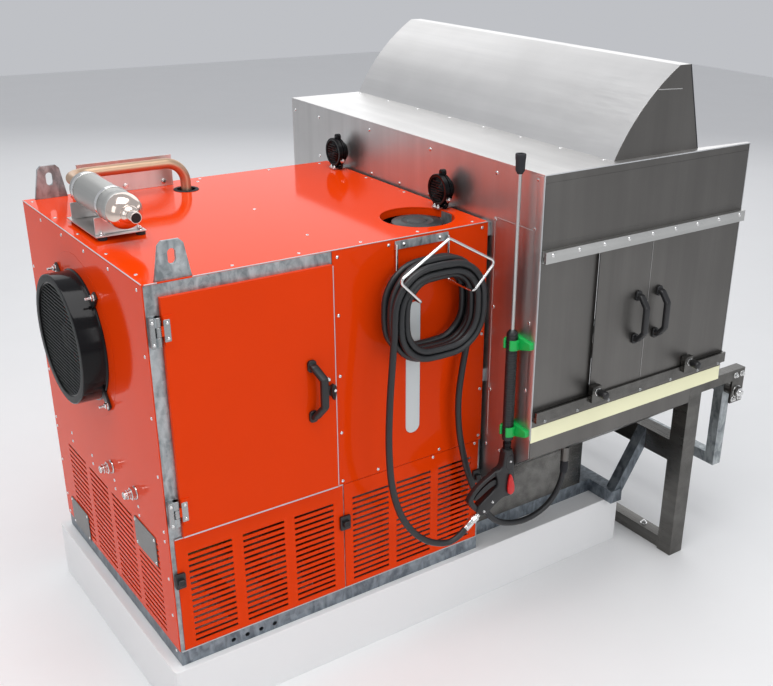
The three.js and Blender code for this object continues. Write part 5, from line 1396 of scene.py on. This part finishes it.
@dataclass
class CabinetFixings:
    """Rivets, screws, cover plates and painted edge highlights of the orange cabinet."""

    def rivet_rows(self) -> None:
        """Set the rivets where the photograph shows them, and the hidden back's in even rows."""
        top = [(15, y) for y in (863, 663, 478, 272, 78)]
        top += [(x, 20) for x in (236, 421, 606, 790, 980)] + [(520, y) for y in (846, 459, 151)]
        top += [(x, 875) for x in (300, 540, 785, 978)] + [(1004, y) for y in (400, 620, 830)]
        end = [(y, 1082) for y in (738, 564, 391, 218, 33)]
        end += [(25, z) for z in (914, 749, 584, 420, 391, 274, 157, 39)]
        end += [(880, z) for z in (907, 740, 572, 407, 375, 253, 126, 60)]
        end += [(y, z) for y in (731, 555, 375, 199) for z in (411, 383)]
        front = [(520, z) for z in (1082, 920, 743, 570, 416)]
        front += [(680, 1088), (999, 1088)] + [(x, 395) for x in (680, 838, 997)]
        front += [(1010, z) for z in (940, 760, 580, 420)] + [(x, 416) for x in (640, 860)]
        back = [(x, z) for x in (30, 265, 510, 755, 990) for z in (60, 420, 740, 1080)]
        patch = rivets(Z, on_face(Plane.TOP, TOP_SKIN, top))
        patch += rivets(-X, on_face(Plane.SIDE, SIDE_SKIN, end))
        patch += rivets(-Y, on_face(Plane.FRONT, SIDE_SKIN, front))
        patch += rivets(Y, on_face(Plane.FRONT, BACK_SKIN, back))
        add_piece("cabinet_rivets", patch, BRIGHT)

    def cover_plates(self) -> None:
        """Screw the two plain grey plates over the end louvres."""
        outside, inside = SIDE_SKIN - 3.0, SIDE_SKIN - 0.2
        plates = plate(rounded(152, 96, 4, (759, 90)), Plane.SIDE, outside, inside, 0.6)
        plates += plate(rounded(148, 90, 4, (166, 320)), Plane.SIDE, outside, inside, 0.6)
        add_piece("louvre_cover_plates", plates, GREY_PLATE)
        places = [(828, 130), (822, 52), (691, 130), (691, 52), (233, 356), (231, 284), (99, 356), (99, 284)]
        screws = rivets(-X, on_face(Plane.SIDE, outside, places), 4.8, 2.4)
        add_piece("cover_plate_screws", screws, BRIGHT)

    def sheet_highlight_strips(self) -> None:
        """Lay painted highlights, thin bright lines, along the roof sheet's cut edges."""
        out, back, low, high = -3.8, -1.4, 1101.4, 1103.6
        spans = (((out, 2, low), (back, 893, high)), ((122, out, low), (1018, back, high)),
                 ((2, out, low), (34, back, high)), ((2, -3.9, 46.6), (1018, 1.0, 49.4)))
        edges = joined([slab(first, last, 0.3, 0.4) for first, last in spans])
        add_piece("sheet_edge_painted_highlights", edges, EDGE_HIGHLIGHT_PAINT)

    def sight_strip(self) -> None:
        """Fit the tank's white level window, its lower end round, into the centre panel's slot."""
        x, half, low, high = 762.0, 24.6, 500.8, 910.0
        angle = np.linspace(np.pi, 2 * np.pi, 17)
        bottom = np.stack([x + half * np.cos(angle), low + half + half * np.sin(angle)], axis=-1)
        outline = np.vstack([bottom, [(x + half, high), (x - half, high)]])
        window = plate(outline, Plane.FRONT, -2.6, -0.2, 0.6)
        add_piece("tank_level_window", window, TANK_WHITE)

    def build(self) -> None:
        """Build every fixing."""
        self.rivet_rows()
        self.cover_plates()
        self.sheet_highlight_strips()
        self.sight_strip()


@dataclass
class PanelLatches:
    """Square slide latches that hold the louvred panels."""

    names: tuple[str, ...] = ("left", "centre", "right")
    rib_heights: tuple[float, ...] = (-6.0, -2.0, 2.0, 6.0)

    def build(self) -> None:
        """Build a frame with a raised, ribbed thumb piece for each latch."""
        for name in self.names:
            low, high = node_box(f"panel_latch_{name}")
            (wide, _, tall), (x, _, z) = high - low, (low + high) / 2
            base = plate(rounded(wide, tall, 3.5, (x, z)), Plane.FRONT, -12, high[1], 1.6)
            thumb = plate(rounded(wide * 0.62, tall * 0.42, 3, (x, z)), Plane.FRONT, low[1], -11, 2.4)
            rib = plate(rounded(wide * 0.5, 2.0, 0.8, (x, z)), Plane.FRONT, low[1] - 1.0, low[1] + 0.6, 0.4)
            patch = base + thumb + rib.copied([height * Z for height in self.rib_heights])
            add_piece(f"slide_latch_{name}", patch, BLACK_PLASTIC,
                      f"{name}_panel_latch", (f"panel_latch_{name}",))


@dataclass
class WaterFittings:
    """Inlet and outlet fittings with their dust caps on the cabinet's end."""

    places: tuple[tuple[str, float], ...] = (("water_inlet", 384.0), ("water_outlet", 208.0))
    z: float = 451.0

    def build(self) -> None:
        """Turn flange, hexagon nut, grooved plug, cap and inner stub for each fitting."""
        for node, y in self.places:
            low, high = node_box(node)
            root, reach, stub = (SIDE_SKIN, y, self.z), SIDE_SKIN - low[0], high[0] - SIDE_SKIN
            patch = turned(root, -X, [(0, 0), (0, 19), (1.4, 19.6), (3.2, 19.0), (3.4, 0)], 32)
            patch += turned(root, -X, [(3, 17.6), (4, 18.6), (14, 18.6), (15, 17.4), (15, 0)], 6)
            plug = [(14.8, 12.5), (16, 13.6), (19, 13.6), (20, 11.6), (23, 11.6), (24, 13.4),
                    (reach * 0.72, 13.4), (reach * 0.74, 11.4), (reach - 2, 11.0), (reach - 0.4, 9.4),
                    (reach, 6.0), (reach - 5, 5.6), (reach - 5, 0.0)]
            patch += turned(root, -X, plug, 32)
            patch += turned(root, X, [(0.1, 0), (0.1, 11), (stub - 0.5, 11), (stub, 10), (stub, 0)], 20)
            add_piece(f"{node}_fitting", patch, BRIGHT, replaces=(node,))


@dataclass
class FillerCap:
    """Flat black screw lid in the round opening of the roof."""

    x: float = 875.0
    y: float = 143.0
    hole_radius: float = 108.2
    ribs: int = 36
    rib_reach: float = 74.2

    def build(self) -> None:
        """Turn the lid with raised rings, then stand grip ribs round its rim."""
        low, high = node_box("filler_cap")
        deep = high[2] - low[2]
        lid = [(0, 0), (0, 74), (1, 75), (deep - 7, 75), (deep - 5.4, 73.6), (deep - 4.6, 70),
               (deep - 3.4, 66), (deep - 2.2, 64), (deep - 2.2, 52), (deep - 1.2, 50.5), (deep - 1.2, 46),
               (deep - 2.2, 44.5), (deep - 2.2, 30), (deep - 0.6, 28), (deep, 26), (deep, 0)]
        patch = turned((self.x, self.y, low[2]), Z, lid, 72)
        places = on_face(Plane.TOP, low[2] + 1.0, round_section(self.rib_reach, self.ribs) + (self.x, self.y))
        patch += turned((0, 0, 0), Z, [(0, 1.6), (deep - 9, 1.6), (deep - 8, 1.0)], 6).copied(places)
        add_piece("filler_screw_lid", patch, LID, "tank_cap", ("filler_cap",))
        hole = self.hole_radius
        edge = [(0, hole), (0, hole + 2.3), (3.5, hole + 2.3), (4.0, hole + 0.6)]
        collar = [(0, hole), (0, hole + 1.6), (23.6, hole + 1.6), (23.6, hole)]
        rim = turned((self.x, self.y, TOP_SKIN - 3.4), Z, edge, 72, closed=True)
        wall = turned((self.x, self.y, TOP_SKIN - 23), Z, collar, 72, closed=True)
        add_piece("filler_opening_edge", rim + wall, ORANGE)


@dataclass
class GunAndLance:
    """Trigger gun hanging on its lance, held by two green clips on the chamber's wall."""

    x: float = 1005.0
    y: float = -150.0
    foot: float = 440.0
    top: float = 1326.0
    half: float = 15.0
    clip_open: float = 138.0
    clip_levels: tuple[tuple[str, float], ...] = (("lower", 502.0), ("upper", 780.0))

    def placed(self, outline: Sequence) -> np.ndarray:
        """Move an outline given from the lance's foot to its place in x and z."""
        return np.asarray(outline, dtype=float) + (self.x, self.foot)

    def gun(self) -> None:
        """Build body and guard as two rounded plates, then trigger, catch and screws."""
        handle = [(-15, -.3), (15, -.3), (19, -40), (25, -95), (25, -140), (11, -165), (-19, -156),
                  (-94, -206), (-112, -182), (-118, -176), (-113, -161), (-41, -118), (-39, -100),
                  (-45, -80), (-52, -64), (-23, -57), (-19, -30)]
        guard = [(-28, -56), (-44, -80), (-61, -81), (-102, -102), (-134, -132), (-114, -160), (-100, -178),
                 (-112, -184), (-125, -172), (-148, -140), (-144, -122), (-108, -90), (-60, -67)]
        front, back = self.y - self.half, self.y + self.half
        body = plate(smoothed(self.placed(handle)), Plane.FRONT, front, back, 4.5)
        body += plate(smoothed(self.placed(guard)), Plane.FRONT, front + 5, back - 5, 3.2)
        rib = plate(smoothed(self.placed([(-12, -20), (12, -20), (17, -80), (-14, -62)])), Plane.FRONT,
                    front - 1.2, front + 2, 1.0)
        sleeve = [(0, 15.6), (1, 16.4), (14, 16.4), (15.4, 15.2), (15.4, 0), (0, 0)]
        collar = turned((self.x, self.y, self.foot - 16), Z, sleeve, 32)
        add_piece("gun_shell", body + rib + collar, BLACK_PLASTIC, replaces=("gun_body",))
        spots = on_face(Plane.FRONT, front, self.placed([(12, -112), (-60, -160), (-92, -182), (4, -40)]))
        add_piece("gun_screws", bolts(-Y, spots + 0.2 * Y, 3.4, 4.2), BRIGHT)
        lever = [(-33, -110), (-31, -94), (-55, -90), (-90, -106), (-123, -129), (-126, -139),
                 (-113, -143), (-65, -115)]
        trigger = plate(smoothed(self.placed(lever)), Plane.FRONT, self.y - 7, self.y + 7, 2.4)
        add_piece("gun_trigger_lever", trigger, BLACK_PLASTIC, "trigger", ("gun_trigger",))
        catch = [(-2, -84), (8, -84), (23, -140), (9, -156), (-8, -143)]
        red = plate(smoothed(self.placed(catch), 1), Plane.FRONT, front - 8, front - 0.3, 2.0)
        red += plate(smoothed(self.placed([(-2, -104), (8, -104), (12, -130), (-2, -134)])), Plane.FRONT,
                     front - 9.4, front - 6, 1.0)
        red += turned((self.x + 3, front - 2, self.foot - 95), Y, [(0, 0), (0, 4), (7, 4), (7, 0)], 16)
        add_piece("gun_safety_catch", red, RED, "safety_catch", ("gun_catch",))

    def lance(self) -> None:
        """Turn the lance: black nut, grooved grip, thin pipe and flared nozzle."""
        nut = [(0, 0), (0, 11.5), (1, 12.6), (8, 12.6), (9, 11), (12, 11), (13, 12.9), (21, 12.9), (22, 11),
               (31, 9.5), (31, 0)]
        add_piece("lance_nut", turned((self.x, self.y, self.foot), Z, nut, 28), BLACK_GLOSS)
        grooves = np.arange(486, 808, 8.0)
        rows = np.stack([grooves, grooves + 1.6, grooves + 5.2, grooves + 6.8], axis=-1).ravel()
        wave = list(zip(rows, np.tile([16.9, 16.9, 16.9, 15.7], len(grooves))))
        grip = [(470, 0), (470, 14.0), (472, 16.2), (476, 17.0), (484, 17.0)] + wave + \
               [(811, 16.9), (815, 15.0), (820, 11.0), (822, 8.4), (822, 0)]
        add_piece("lance_grip", turned((self.x, self.y, 0), Z, grip, 32), BLACK_PLASTIC,
                  replaces=("lance",))
        pipe = [(815, 0), (815, 5.6), (1276, 5.6), (1276, 0)]
        add_piece("lance_pipe", turned((self.x, self.y, 0), Z, pipe, 24), STAINLESS_WALL)
        top = self.top
        nozzle = [(top - 54, 0), (top - 54, 8.0), (top - 50, 9.6), (top - 46, 12.4), (top - 42, 13.0),
                  (top - 20, 13.6), (top - 10, 14.8), (top - 2, 14.8), (top, 13.6), (top, 9.0),
                  (top - 12, 6.5), (top - 12, 2.2), (top - 18, 2.0), (top - 18, 0)]
        add_piece("lance_nozzle", turned((self.x, self.y, 0), Z, nozzle, 32), RUBBER)

    def clips(self) -> None:
        """Build each clip: a ring open towards the cabinet, its arm and a wedge on the wall."""
        inner, outer, arm_x = 17.3, 24.3, self.x + 17.8
        angle = np.linspace(*np.radians([-self.clip_open, self.clip_open]), 33)
        circle = np.stack([np.cos(angle), np.sin(angle)], axis=-1)
        middle = np.array([self.x, self.y])
        ring = np.vstack([middle + outer * circle, (middle + inner * circle)[::-1]])
        arm_outline = smoothed([(arm_x, -164), (1030.6, -168), (1030.6, -132), (arm_x, -136)], 1)
        flank = np.array([(-217, -2), (-214, -4), (-142, -25), (-138, -22), (-138, 22), (-142, 25),
                          (-214, 17), (-217, 14)])
        tip = middle + 20.5 * circle[-1]
        for level, z in self.clip_levels:
            hook = plate(ring, Plane.TOP, z - 15, z + 15, 1.6)
            arm = plate(arm_outline, Plane.TOP, z - 14.4, z + 14.4, 1.2)
            wedge = plate(flank + (0, z), Plane.SIDE, WALL_X - 16, WALL_X - 0.3, 1.8)
            lip = turned((*tip, z - 14.6), Z,
                         [(0, 0), (0, 3.4), (1, 4.4), (28.2, 4.4), (29.2, 3.4), (29.2, 0)], 14)
            clip = hook + arm + wedge + lip + lip.mirrored(1, self.y)
            add_piece(f"green_clip_{level}", clip, GREEN, replaces=(f"lance_clip_{level}",))

    def build(self) -> None:
        """Build gun, lance and clips."""
        self.gun()
        self.lance()
        self.clips()


@dataclass
class WorkLamps:
    """Two round black work lamps on swivel brackets over the cabinet's roof."""

    x: float = 985.0
    z: float = 1160.0
    radius: float = 46.0
    places: tuple[tuple[str, float], ...] = (("front", 187.0), ("rear", 780.0))
    lens_rings: int = 7
    plate_top: float = 1108.4

    def housing(self, y: float) -> Patch:
        """Turn the housing with its stepped lens and stand the lug on top.

        Args:
            y: Place along the wall.

        Returns:
            The patch.
        """
        r = self.radius
        shell = [(0, r - 9), (0.6, r - 8), (-0.2, r - 6), (-0.2, r - 1.2), (1, r), (13, r), (14.5, r - 4),
                 (17, r - 4), (18, r - 0.6), (20.5, r - 0.6), (21.5, r - 4), (24, r - 4), (25, r - 2),
                 (27.5, r - 2), (28.5, r - 6), (36, r - 11), (43, r - 17), (44, r - 19), (44, 0)]
        steps = [(0.4 if k % 2 else 3.6, 9 + k * 3.4) for k in range(1, self.lens_rings + 1)]
        lens = [(3, 0), (3, 8), (1.6, 9)] + steps + [(3.4, r - 10)]
        crown = self.z + r
        lug = [(y - 10, crown - 6), (y + 10, crown - 6), (y + 8, crown + 12), (y - 8, crown + 12)]
        return turned((self.x - 10, y, self.z), X, lens + shell, 48) + \
            plate(smoothed(lug, 1), Plane.SIDE, self.x + 3, self.x + 19, 1.6)

    def bracket(self, name: str, y: float) -> Patch:
        """Bend the fork, turn the stem under it and lay guard wires, chords of the lens.

        Args:
            name: front or rear.
            y: Place along the wall.

        Returns:
            The patch.
        """
        x, z = self.x + 4, self.z
        bow = fillet([(x, y - 38, z - 22), (x, y - 30, z - 49.5), (x, y + 30, z - 49.5), (x, y + 38, z - 22)],
                     8, 5)
        fork = swept(bow, rounded(12, 4, 1.2, steps=2), up=X)
        low = node_box(f"work_lamp_{name}")[0][2]
        tall = z - self.radius - low + 2
        stem = turned((self.x, y, low), Z, [(0, 8), (0, 9), (3, 9), (4, 7), (tall, 7), (tall, 0)], 20)
        height = np.arange(-24, 25, 8.0)
        chord = np.sqrt(30.0 ** 2 - height ** 2)[:, None] * Y
        middle = np.array([self.x - 9.6, y, z]) + height[:, None] * Z
        return fork + stem + bars(middle - chord, middle + chord, 1.3, 6)

    def build(self) -> None:
        """Build both lamps with their swivel and bracket bolts."""
        for name, y in self.places:
            add_piece(f"round_lamp_{name}", self.housing(y) + self.bracket(name, y), BLACK_GLOSS,
                      f"{name}_lamp", (f"work_lamp_{name}",))
            knobs = bolts(-Y, [(self.x + 4, y - 39, self.z - 24)], 6, 8, 3)
            knobs += bolts(Y, [(self.x + 4, y + 39, self.z - 24)], 6, 8, 3)
            add_piece(f"lamp_swivel_bolts_{name}", knobs, BRIGHT, f"{name}_lamp")
            places = [(self.x - 10, y - 9), (self.x - 10, y + 9), (self.x + 22, y)]
            fixings = bolts(Z, on_face(Plane.TOP, self.plate_top, places), 5.5, 7.5, 3)
            add_piece(f"lamp_bracket_bolts_{name}", fixings, BRIGHT)


@dataclass
class SlidingDoors:
    """Both sliding leaves with their bow handles, lock knobs and the rails' screws."""

    seam: float = 1469.0
    width: float = 217.0
    low: float = 565.0
    high: float = 1053.0
    face: float = -232.0
    rail_face: float = -240.3
    handle_z: float = 800.0
    handle_half: float = 70.0
    handle_offset: float = 45.0
    pin_z: float = 600.0
    pin_offset: float = 205.0

    def leaf(self, name: str, direction: int) -> None:
        """Build one leaf with the line along its left edge: a painted highlight in bright stainless on the
        right leaf, a black line in rubber finish on the left leaf.

        Args:
            name: left or right.
            direction: -1 for the left leaf, 1 for the right leaf.
        """
        centre = self.seam + direction * (self.width + 1) / 2
        tall, middle = self.high - self.low, (self.high + self.low) / 2
        outline = rounded(self.width, tall, 2, (centre, middle))
        sheet = plate(outline, Plane.FRONT, self.face, self.face + 3, 0.5)
        add_piece(f"sliding_leaf_{name}", sheet, STAINLESS_FRONT, f"{name}_leaf",
                  (f"slide_door_{name}",))
        low = centre - self.width / 2
        edge = slab((low, self.face - 0.3, self.low + 2),
                    (low + 1.4, self.face + 0.1, self.high - 2), 0.1, 0.3)
        # The right leaf's edge line is a painted highlight, the lit stainless tone on the shaded leaf.
        finish, slot = (RUBBER, "black_rubber") if direction < 0 else (STAINLESS_WALL, "stainless")
        add_piece(f"leaf_edge_line_{name}", edge, finish, f"{name}_leaf")

    def handle(self, name: str, direction: int) -> None:
        """Sweep one leaf's bow handle and set its two feet.

        Args:
            name: left or right.
            direction: -1 for the left leaf, 1 for the right leaf.
        """
        x, z = self.seam + direction * self.handle_offset, self.handle_z
        root, half = self.face - 0.2, self.handle_half
        upper = [(x, root + 0.5, z + half), (x, root - 18, z + half - 2), (x, root - 41, z + half - 30)]
        lower = [(x, root - 41, z - half + 30), (x, root - 18, z - half + 2), (x, root + 0.5, z - half)]
        path = fillet(upper + lower, 8, 4)
        grip = swept(path, rounded(15, 21, 4.6, steps=3), up=X)
        for side in (1, -1):
            foot = rounded(24, 32, 9, (x, z + side * (half - 1)))
            grip += plate(foot, Plane.FRONT, root - 8, root, 1.8)
        add_piece(f"leaf_handle_{name}", grip, BLACK_PLASTIC, f"{name}_leaf")

    def lock(self, name: str, direction: int) -> None:
        """Turn one lock pin: knob, stem and the nut that guides it.

        Args:
            name: left or right.
            direction: -1 for the left pin, 1 for the right pin.
        """
        x, z = self.seam + direction * self.pin_offset, self.pin_z
        knob = [(0, 0), (0, 9.6), (1.4, 11.6), (4, 12.6), (22, 13.0), (29, 12.6), (32.4, 10.8), (34, 7),
                (34, 0)]
        add_piece(f"lock_knob_{name}", turned((x, -262.6, z), -Y, knob, 28), BLACK_PLASTIC,
                  f"{name}_pin", (f"lock_pin_{name}",))
        stem = turned((x, -264.0, z), Y, [(0, 0), (0, 4), (30.8, 4), (31.6, 3.2), (31.6, 0)], 16)
        add_piece(f"lock_stem_{name}", stem, BRIGHT, f"{name}_pin")
        collar = [(0, 9.8), (0, 12.5), (1, 13), (5, 13), (6, 12), (6, 9.8)]
        nut = turned((x, -252.5, z), -Y, collar, 6, closed=True)
        add_piece(f"lock_neck_nut_{name}", nut, BRIGHT)

    def rail_screws(self) -> None:
        """Set the screws of the upper rail and along the lower one."""
        upper = on_face(Plane.FRONT, self.rail_face, [(v, 1058) for v in np.linspace(1062, 1848, 9)])
        places = [(v, 549) for v in (1070, 1200, 1330, 1469, 1608, 1738, 1840)]
        low = on_face(Plane.FRONT, self.rail_face, places)
        add_piece("upper_rail_screws", rivets(-Y, upper, 6.5, 3.0), BRIGHT)
        add_piece("lower_rail_screws", rivets(-Y, low, 6.0, 2.6), PLATED)

    def build(self) -> None:
        """Build both leaves and the screws."""
        for name, direction in (("left", -1), ("right", 1)):
            self.leaf(name, direction)
            self.handle(name, direction)
            self.lock(name, direction)
        self.rail_screws()


@dataclass
class ChamberTrim:
    """Strip, seams, rivets, folds and painted fold highlights of the wash chamber."""

    proud: float = CHAMBER_FRONT - 1.4
    seat: float = CHAMBER_FRONT - 0.1
    left_x: float = 1030.4
    right_x: float = 1875.0
    fold_foot: float = 487.0
    fold_top: float = 1279.2
    hood_foot: tuple[float, float] = (1310.0, 1276.4)
    hood_ridge: tuple[float, float] = (1547.0, 1527.0)
    hood_radius: float = 628.0
    hood_right: tuple[tuple[float, float], ...] = ((1592.0, 1527.0), (1661.0, 1276.4))
    hood_sheet: tuple[float, float] = (-196.3, -195.1)
    hood_edge: tuple[tuple[float, float, float], ...] = ((1591.5, -194.6, 1526.0), (1660.5, -194.6, 1277.0))
    weld_x: tuple[float, float] = (1464.0, 1564.0)
    weld_z: tuple[float, float] = (1465.0, 1461.0)
    weld_y: float = -196.8
    weld_points: int = 60

    def strip(self) -> None:
        """Lay the pale strip along the chamber's lower front edge and the sheet above the doors."""
        band = plate(rounded(842, 50, 1.5, (1453, 503)), Plane.FRONT, self.proud, self.seat, 0.4)
        add_piece("pale_edge_strip", band, STRIP)
        blank = plate(rounded(836, 168, 1.5, (1453, 1172)), Plane.FRONT, self.proud + 0.4, self.seat, 0.4)
        add_piece("fascia_sheet", blank, STAINLESS_FRONT)

    def hood_front(self) -> None:
        """Cover the hood's front: its left side is an arc, foot to ridge, about a centre below it."""
        foot, ridge, radius = np.array(self.hood_foot), np.array(self.hood_ridge), self.hood_radius
        chord = ridge - foot
        drop = math.sqrt(radius ** 2 - chord @ chord / 4)
        centre = (foot + ridge) / 2 + drop * unit(np.array([chord[1], -chord[0]]))
        low, high = (math.atan2(*(point - centre)[::-1]) for point in (foot, ridge))
        angle = np.linspace(low, high, 24)
        arc = centre + radius * np.stack([np.cos(angle), np.sin(angle)], axis=-1)
        sheet = plate(np.vstack([arc, self.hood_right]), Plane.FRONT, *self.hood_sheet, 0.3)
        add_piece("hood_front_sheet", sheet, STAINLESS_FRONT)
        trim = swept(np.array(self.hood_edge), rounded(4.5, 5.0, 1.2, steps=2), up=Y)
        add_piece("hood_edge_trim", trim, RUBBER)

    def fold_highlight_strips(self) -> None:
        """Lay painted highlights, thin bright strips, along the folded edges round the chamber's front."""
        low, thick, inner = self.fold_foot, 3.0, self.left_x + 3.2
        spans = (((self.left_x, low), (inner, self.fold_top)),
                 ((self.right_x - thick, low), (self.right_x, self.fold_top)),
                 ((inner, self.fold_top - thick), (self.right_x - thick, self.fold_top)))
        folds = joined([slab((a, self.proud, b), (c, self.seat, d), 0.3, 0.5) for (a, b), (c, d) in spans])
        add_piece("chamber_front_painted_highlights", folds, EDGE_HIGHLIGHT_PAINT)

    def rivet_rows(self) -> None:
        """Set the studs and rivets that the photograph shows, and the hidden back's in even rows."""
        left = [(965, 1240), (965, 1107), (629, 1112), (466, 1113), (303, 1113), (-21, 1245), (-197, 1262),
                (-22, 1113), (-194, 1125), (-27, 849), (-27, 582), (-190, 849), (-190, 640), (640, 1252),
                (300, 1252), (1130, 1240), (1130, 900), (1130, 560), (-90, 478), (-17, 392), (-81, 394),
                (936, 272), (480, 268), (1063, 432)]
        patch = rivets(-X, on_face(Plane.SIDE, WALL_X, left), 6.2, 2.8)
        foot = [(1301, y) for y in np.linspace(-165, 1120, 8)]
        patch += rivets(Z, on_face(Plane.TOP, ROOF_TOP, foot), 5.6, 2.2)
        back = [(x, z) for x in (1060, 1330, 1600, 1850) for z in (520, 880, 1240)]
        patch += rivets(Y, on_face(Plane.FRONT, CHAMBER_BACK, back), 6.2, 2.8)
        add_piece("chamber_rivets", patch, BRIGHT)

    def seams(self) -> None:
        """Fold the wall's corner flange and lay its overlapping seams."""
        fold = slab((WALL_X - 1.6, CHAMBER_FRONT, self.fold_foot), (WALL_X + 0.2, -196, 1275), 0.5, 0.7)
        overlap = np.array([(-219, 1116), (-20, 1116), (-20, 1120), (-219, 1120)], dtype=float)
        lap = plate(overlap, Plane.SIDE, WALL_X - 1.2, WALL_X + 0.2, 0.4)
        joint = slab((WALL_X - 1.2, -22, 430), (WALL_X + 0.2, -18, 1118), 0.4, 0.5)
        add_piece("wall_corner_fold", fold + lap + joint, STAINLESS_WALL)

    def weld(self) -> None:
        """Draw the hood's fine weld line across its front plate, wavering by a sine of x."""
        x, z = (np.linspace(*ends, self.weld_points) for ends in (self.weld_x, self.weld_z))
        path = np.stack([x, np.full_like(x, self.weld_y), z + 0.5 * np.sin(x)], axis=-1)
        line = swept(path, round_section(1.3, 6), up=Y)
        add_piece("hood_weld_line", line, LIT_STAINLESS_ROOF)

    def build(self) -> None:
        """Build strip, rivets, seams and the smooth hood."""
        self.strip()
        self.rivet_rows()
        self.seams()
        self.weld()
        self.hood_front()
        self.fold_highlight_strips()
        merged_copy("hooded_roof", "chamber_roof", LIT_STAINLESS_ROOF, angle=20)


@dataclass
class UnderFrame:
    """Bolts and weld beads of the chamber's frame and the bin lifter."""

    faces: tuple[tuple[float, int], ...] = ((-222.3, -1), (1150.3, 1))
    pivot: tuple[float, float] = (1988.0, 402.0)
    plate_bolts: tuple[tuple[float, float], ...] = ((1972, 466), (2004, 466), (1972, 376), (2004, 376))
    foot_bolts: tuple[float, ...] = (-60.0, 500.0, 1000.0)
    foot_rail: tuple[float, float] = (1766.0, -139.8)
    bead_start: float = 1736.0
    bead_length: float = 60.0
    bead_sides: tuple[float, float] = (-160.0, 1088.0)
    bead_levels: tuple[float, ...] = (180.0, 258.0, 420.0, 480.0)

    def fasteners(self) -> None:
        """Bolt the pivot plates at both sides, and the foot rail."""
        pivots = []
        for y, normal in self.faces:
            turn = bolts(normal * Y, on_face(Plane.FRONT, y - 0.2 * normal, self.pivot), 17, 22, 10)
            pivots.append(turn + bolts(normal * Y, on_face(Plane.FRONT, y, self.plate_bolts), 8, 11, 4))
        add_piece("lifter_pivot_bolts", joined(pivots), BRIGHT)
        x, z = self.foot_rail
        feet = bolts(Z, [(x, y, z) for y in self.foot_bolts], 9, 13, 5)
        add_piece("frame_bolts", feet, BRIGHT)

    def build(self) -> None:
        """Set the fasteners and run weld beads, thin wavering rods, where beams meet the legs."""
        self.fasteners()
        t = np.linspace(0, 1, 24)
        x, wave = self.bead_start + self.bead_length * t, 0.7 * np.sin(40 * t)
        beads = [swept(np.stack([x, np.full(24, y), z + wave], axis=-1), round_section(3.2, 8), up=Y)
                 for y in self.bead_sides for z in self.bead_levels]
        add_piece("frame_weld_beads", joined(beads), SHADED_STAINLESS_FRAME)


@dataclass
class SprayGear:
    """Smooth spray pipe and rotary heads inside the chamber, and other turned CAD nodes."""

    def build(self) -> None:
        """Stand smooth copies in for the faceted round nodes."""
        merged_copy("spray_pipework", "spray_pipe", BRIGHT, angle=40)
        for place in ("front", "rear"):
            merged_copy(f"rotary_spray_{place}", f"spray_head_{place}", BRASS, f"{place}_spray", 40)
        for name, node, finish, slot, body in (
                ("pressure_pump", "pump", BRASS, "brass", "machine"),
                ("driven_pulley", "pump_pulley", IRON, "cast_iron", "pump_shaft"),
                ("driving_pulley", "drive_pulley", IRON, "cast_iron", "crankshaft"),
                ("vee_belt", "drive_belt", RUBBER, "black_rubber", "machine"),
                ("water_tank_shell", "water_tank", TANK_SHADE, "tank_plastic", "machine")):
            merged_copy(name, node, finish, body, 35)


def dress_cad_nodes() -> None:
    """Give every CAD node its finish, by its own name or by the record's slot."""
    slots = {part["node"]: part["material_slot"] for part in frame["record"]["subparts"]}
    for node, slot in slots.items():
        finish = BY_NODE.get(node, BY_SLOT[slot])
        thing = bpy.data.objects[node]
        thing.data.materials.clear()
        thing.data.materials.append(finish.material())


def main() -> None:
    """Build the scene: studio and hose first, then each sub-assembly."""
    logging.basicConfig(level=logging.INFO, format="%(name)s %(message)s")
    Studio().build()
    HoseRun().build()
    dress_cad_nodes()
    assemblies = (HoseHook(), Cowl(), Exhaust(), DoorFurniture(), CabinetFixings(), PanelLatches(),
                  WaterFittings(), FillerCap(), GunAndLance(), WorkLamps(), SlidingDoors(),
                  ChamberTrim(), UnderFrame(), SprayGear())
    for assembly in assemblies:
        assembly.build()
        log.info("%s done", type(assembly).__name__)


if __name__ == "__main__":
    main()
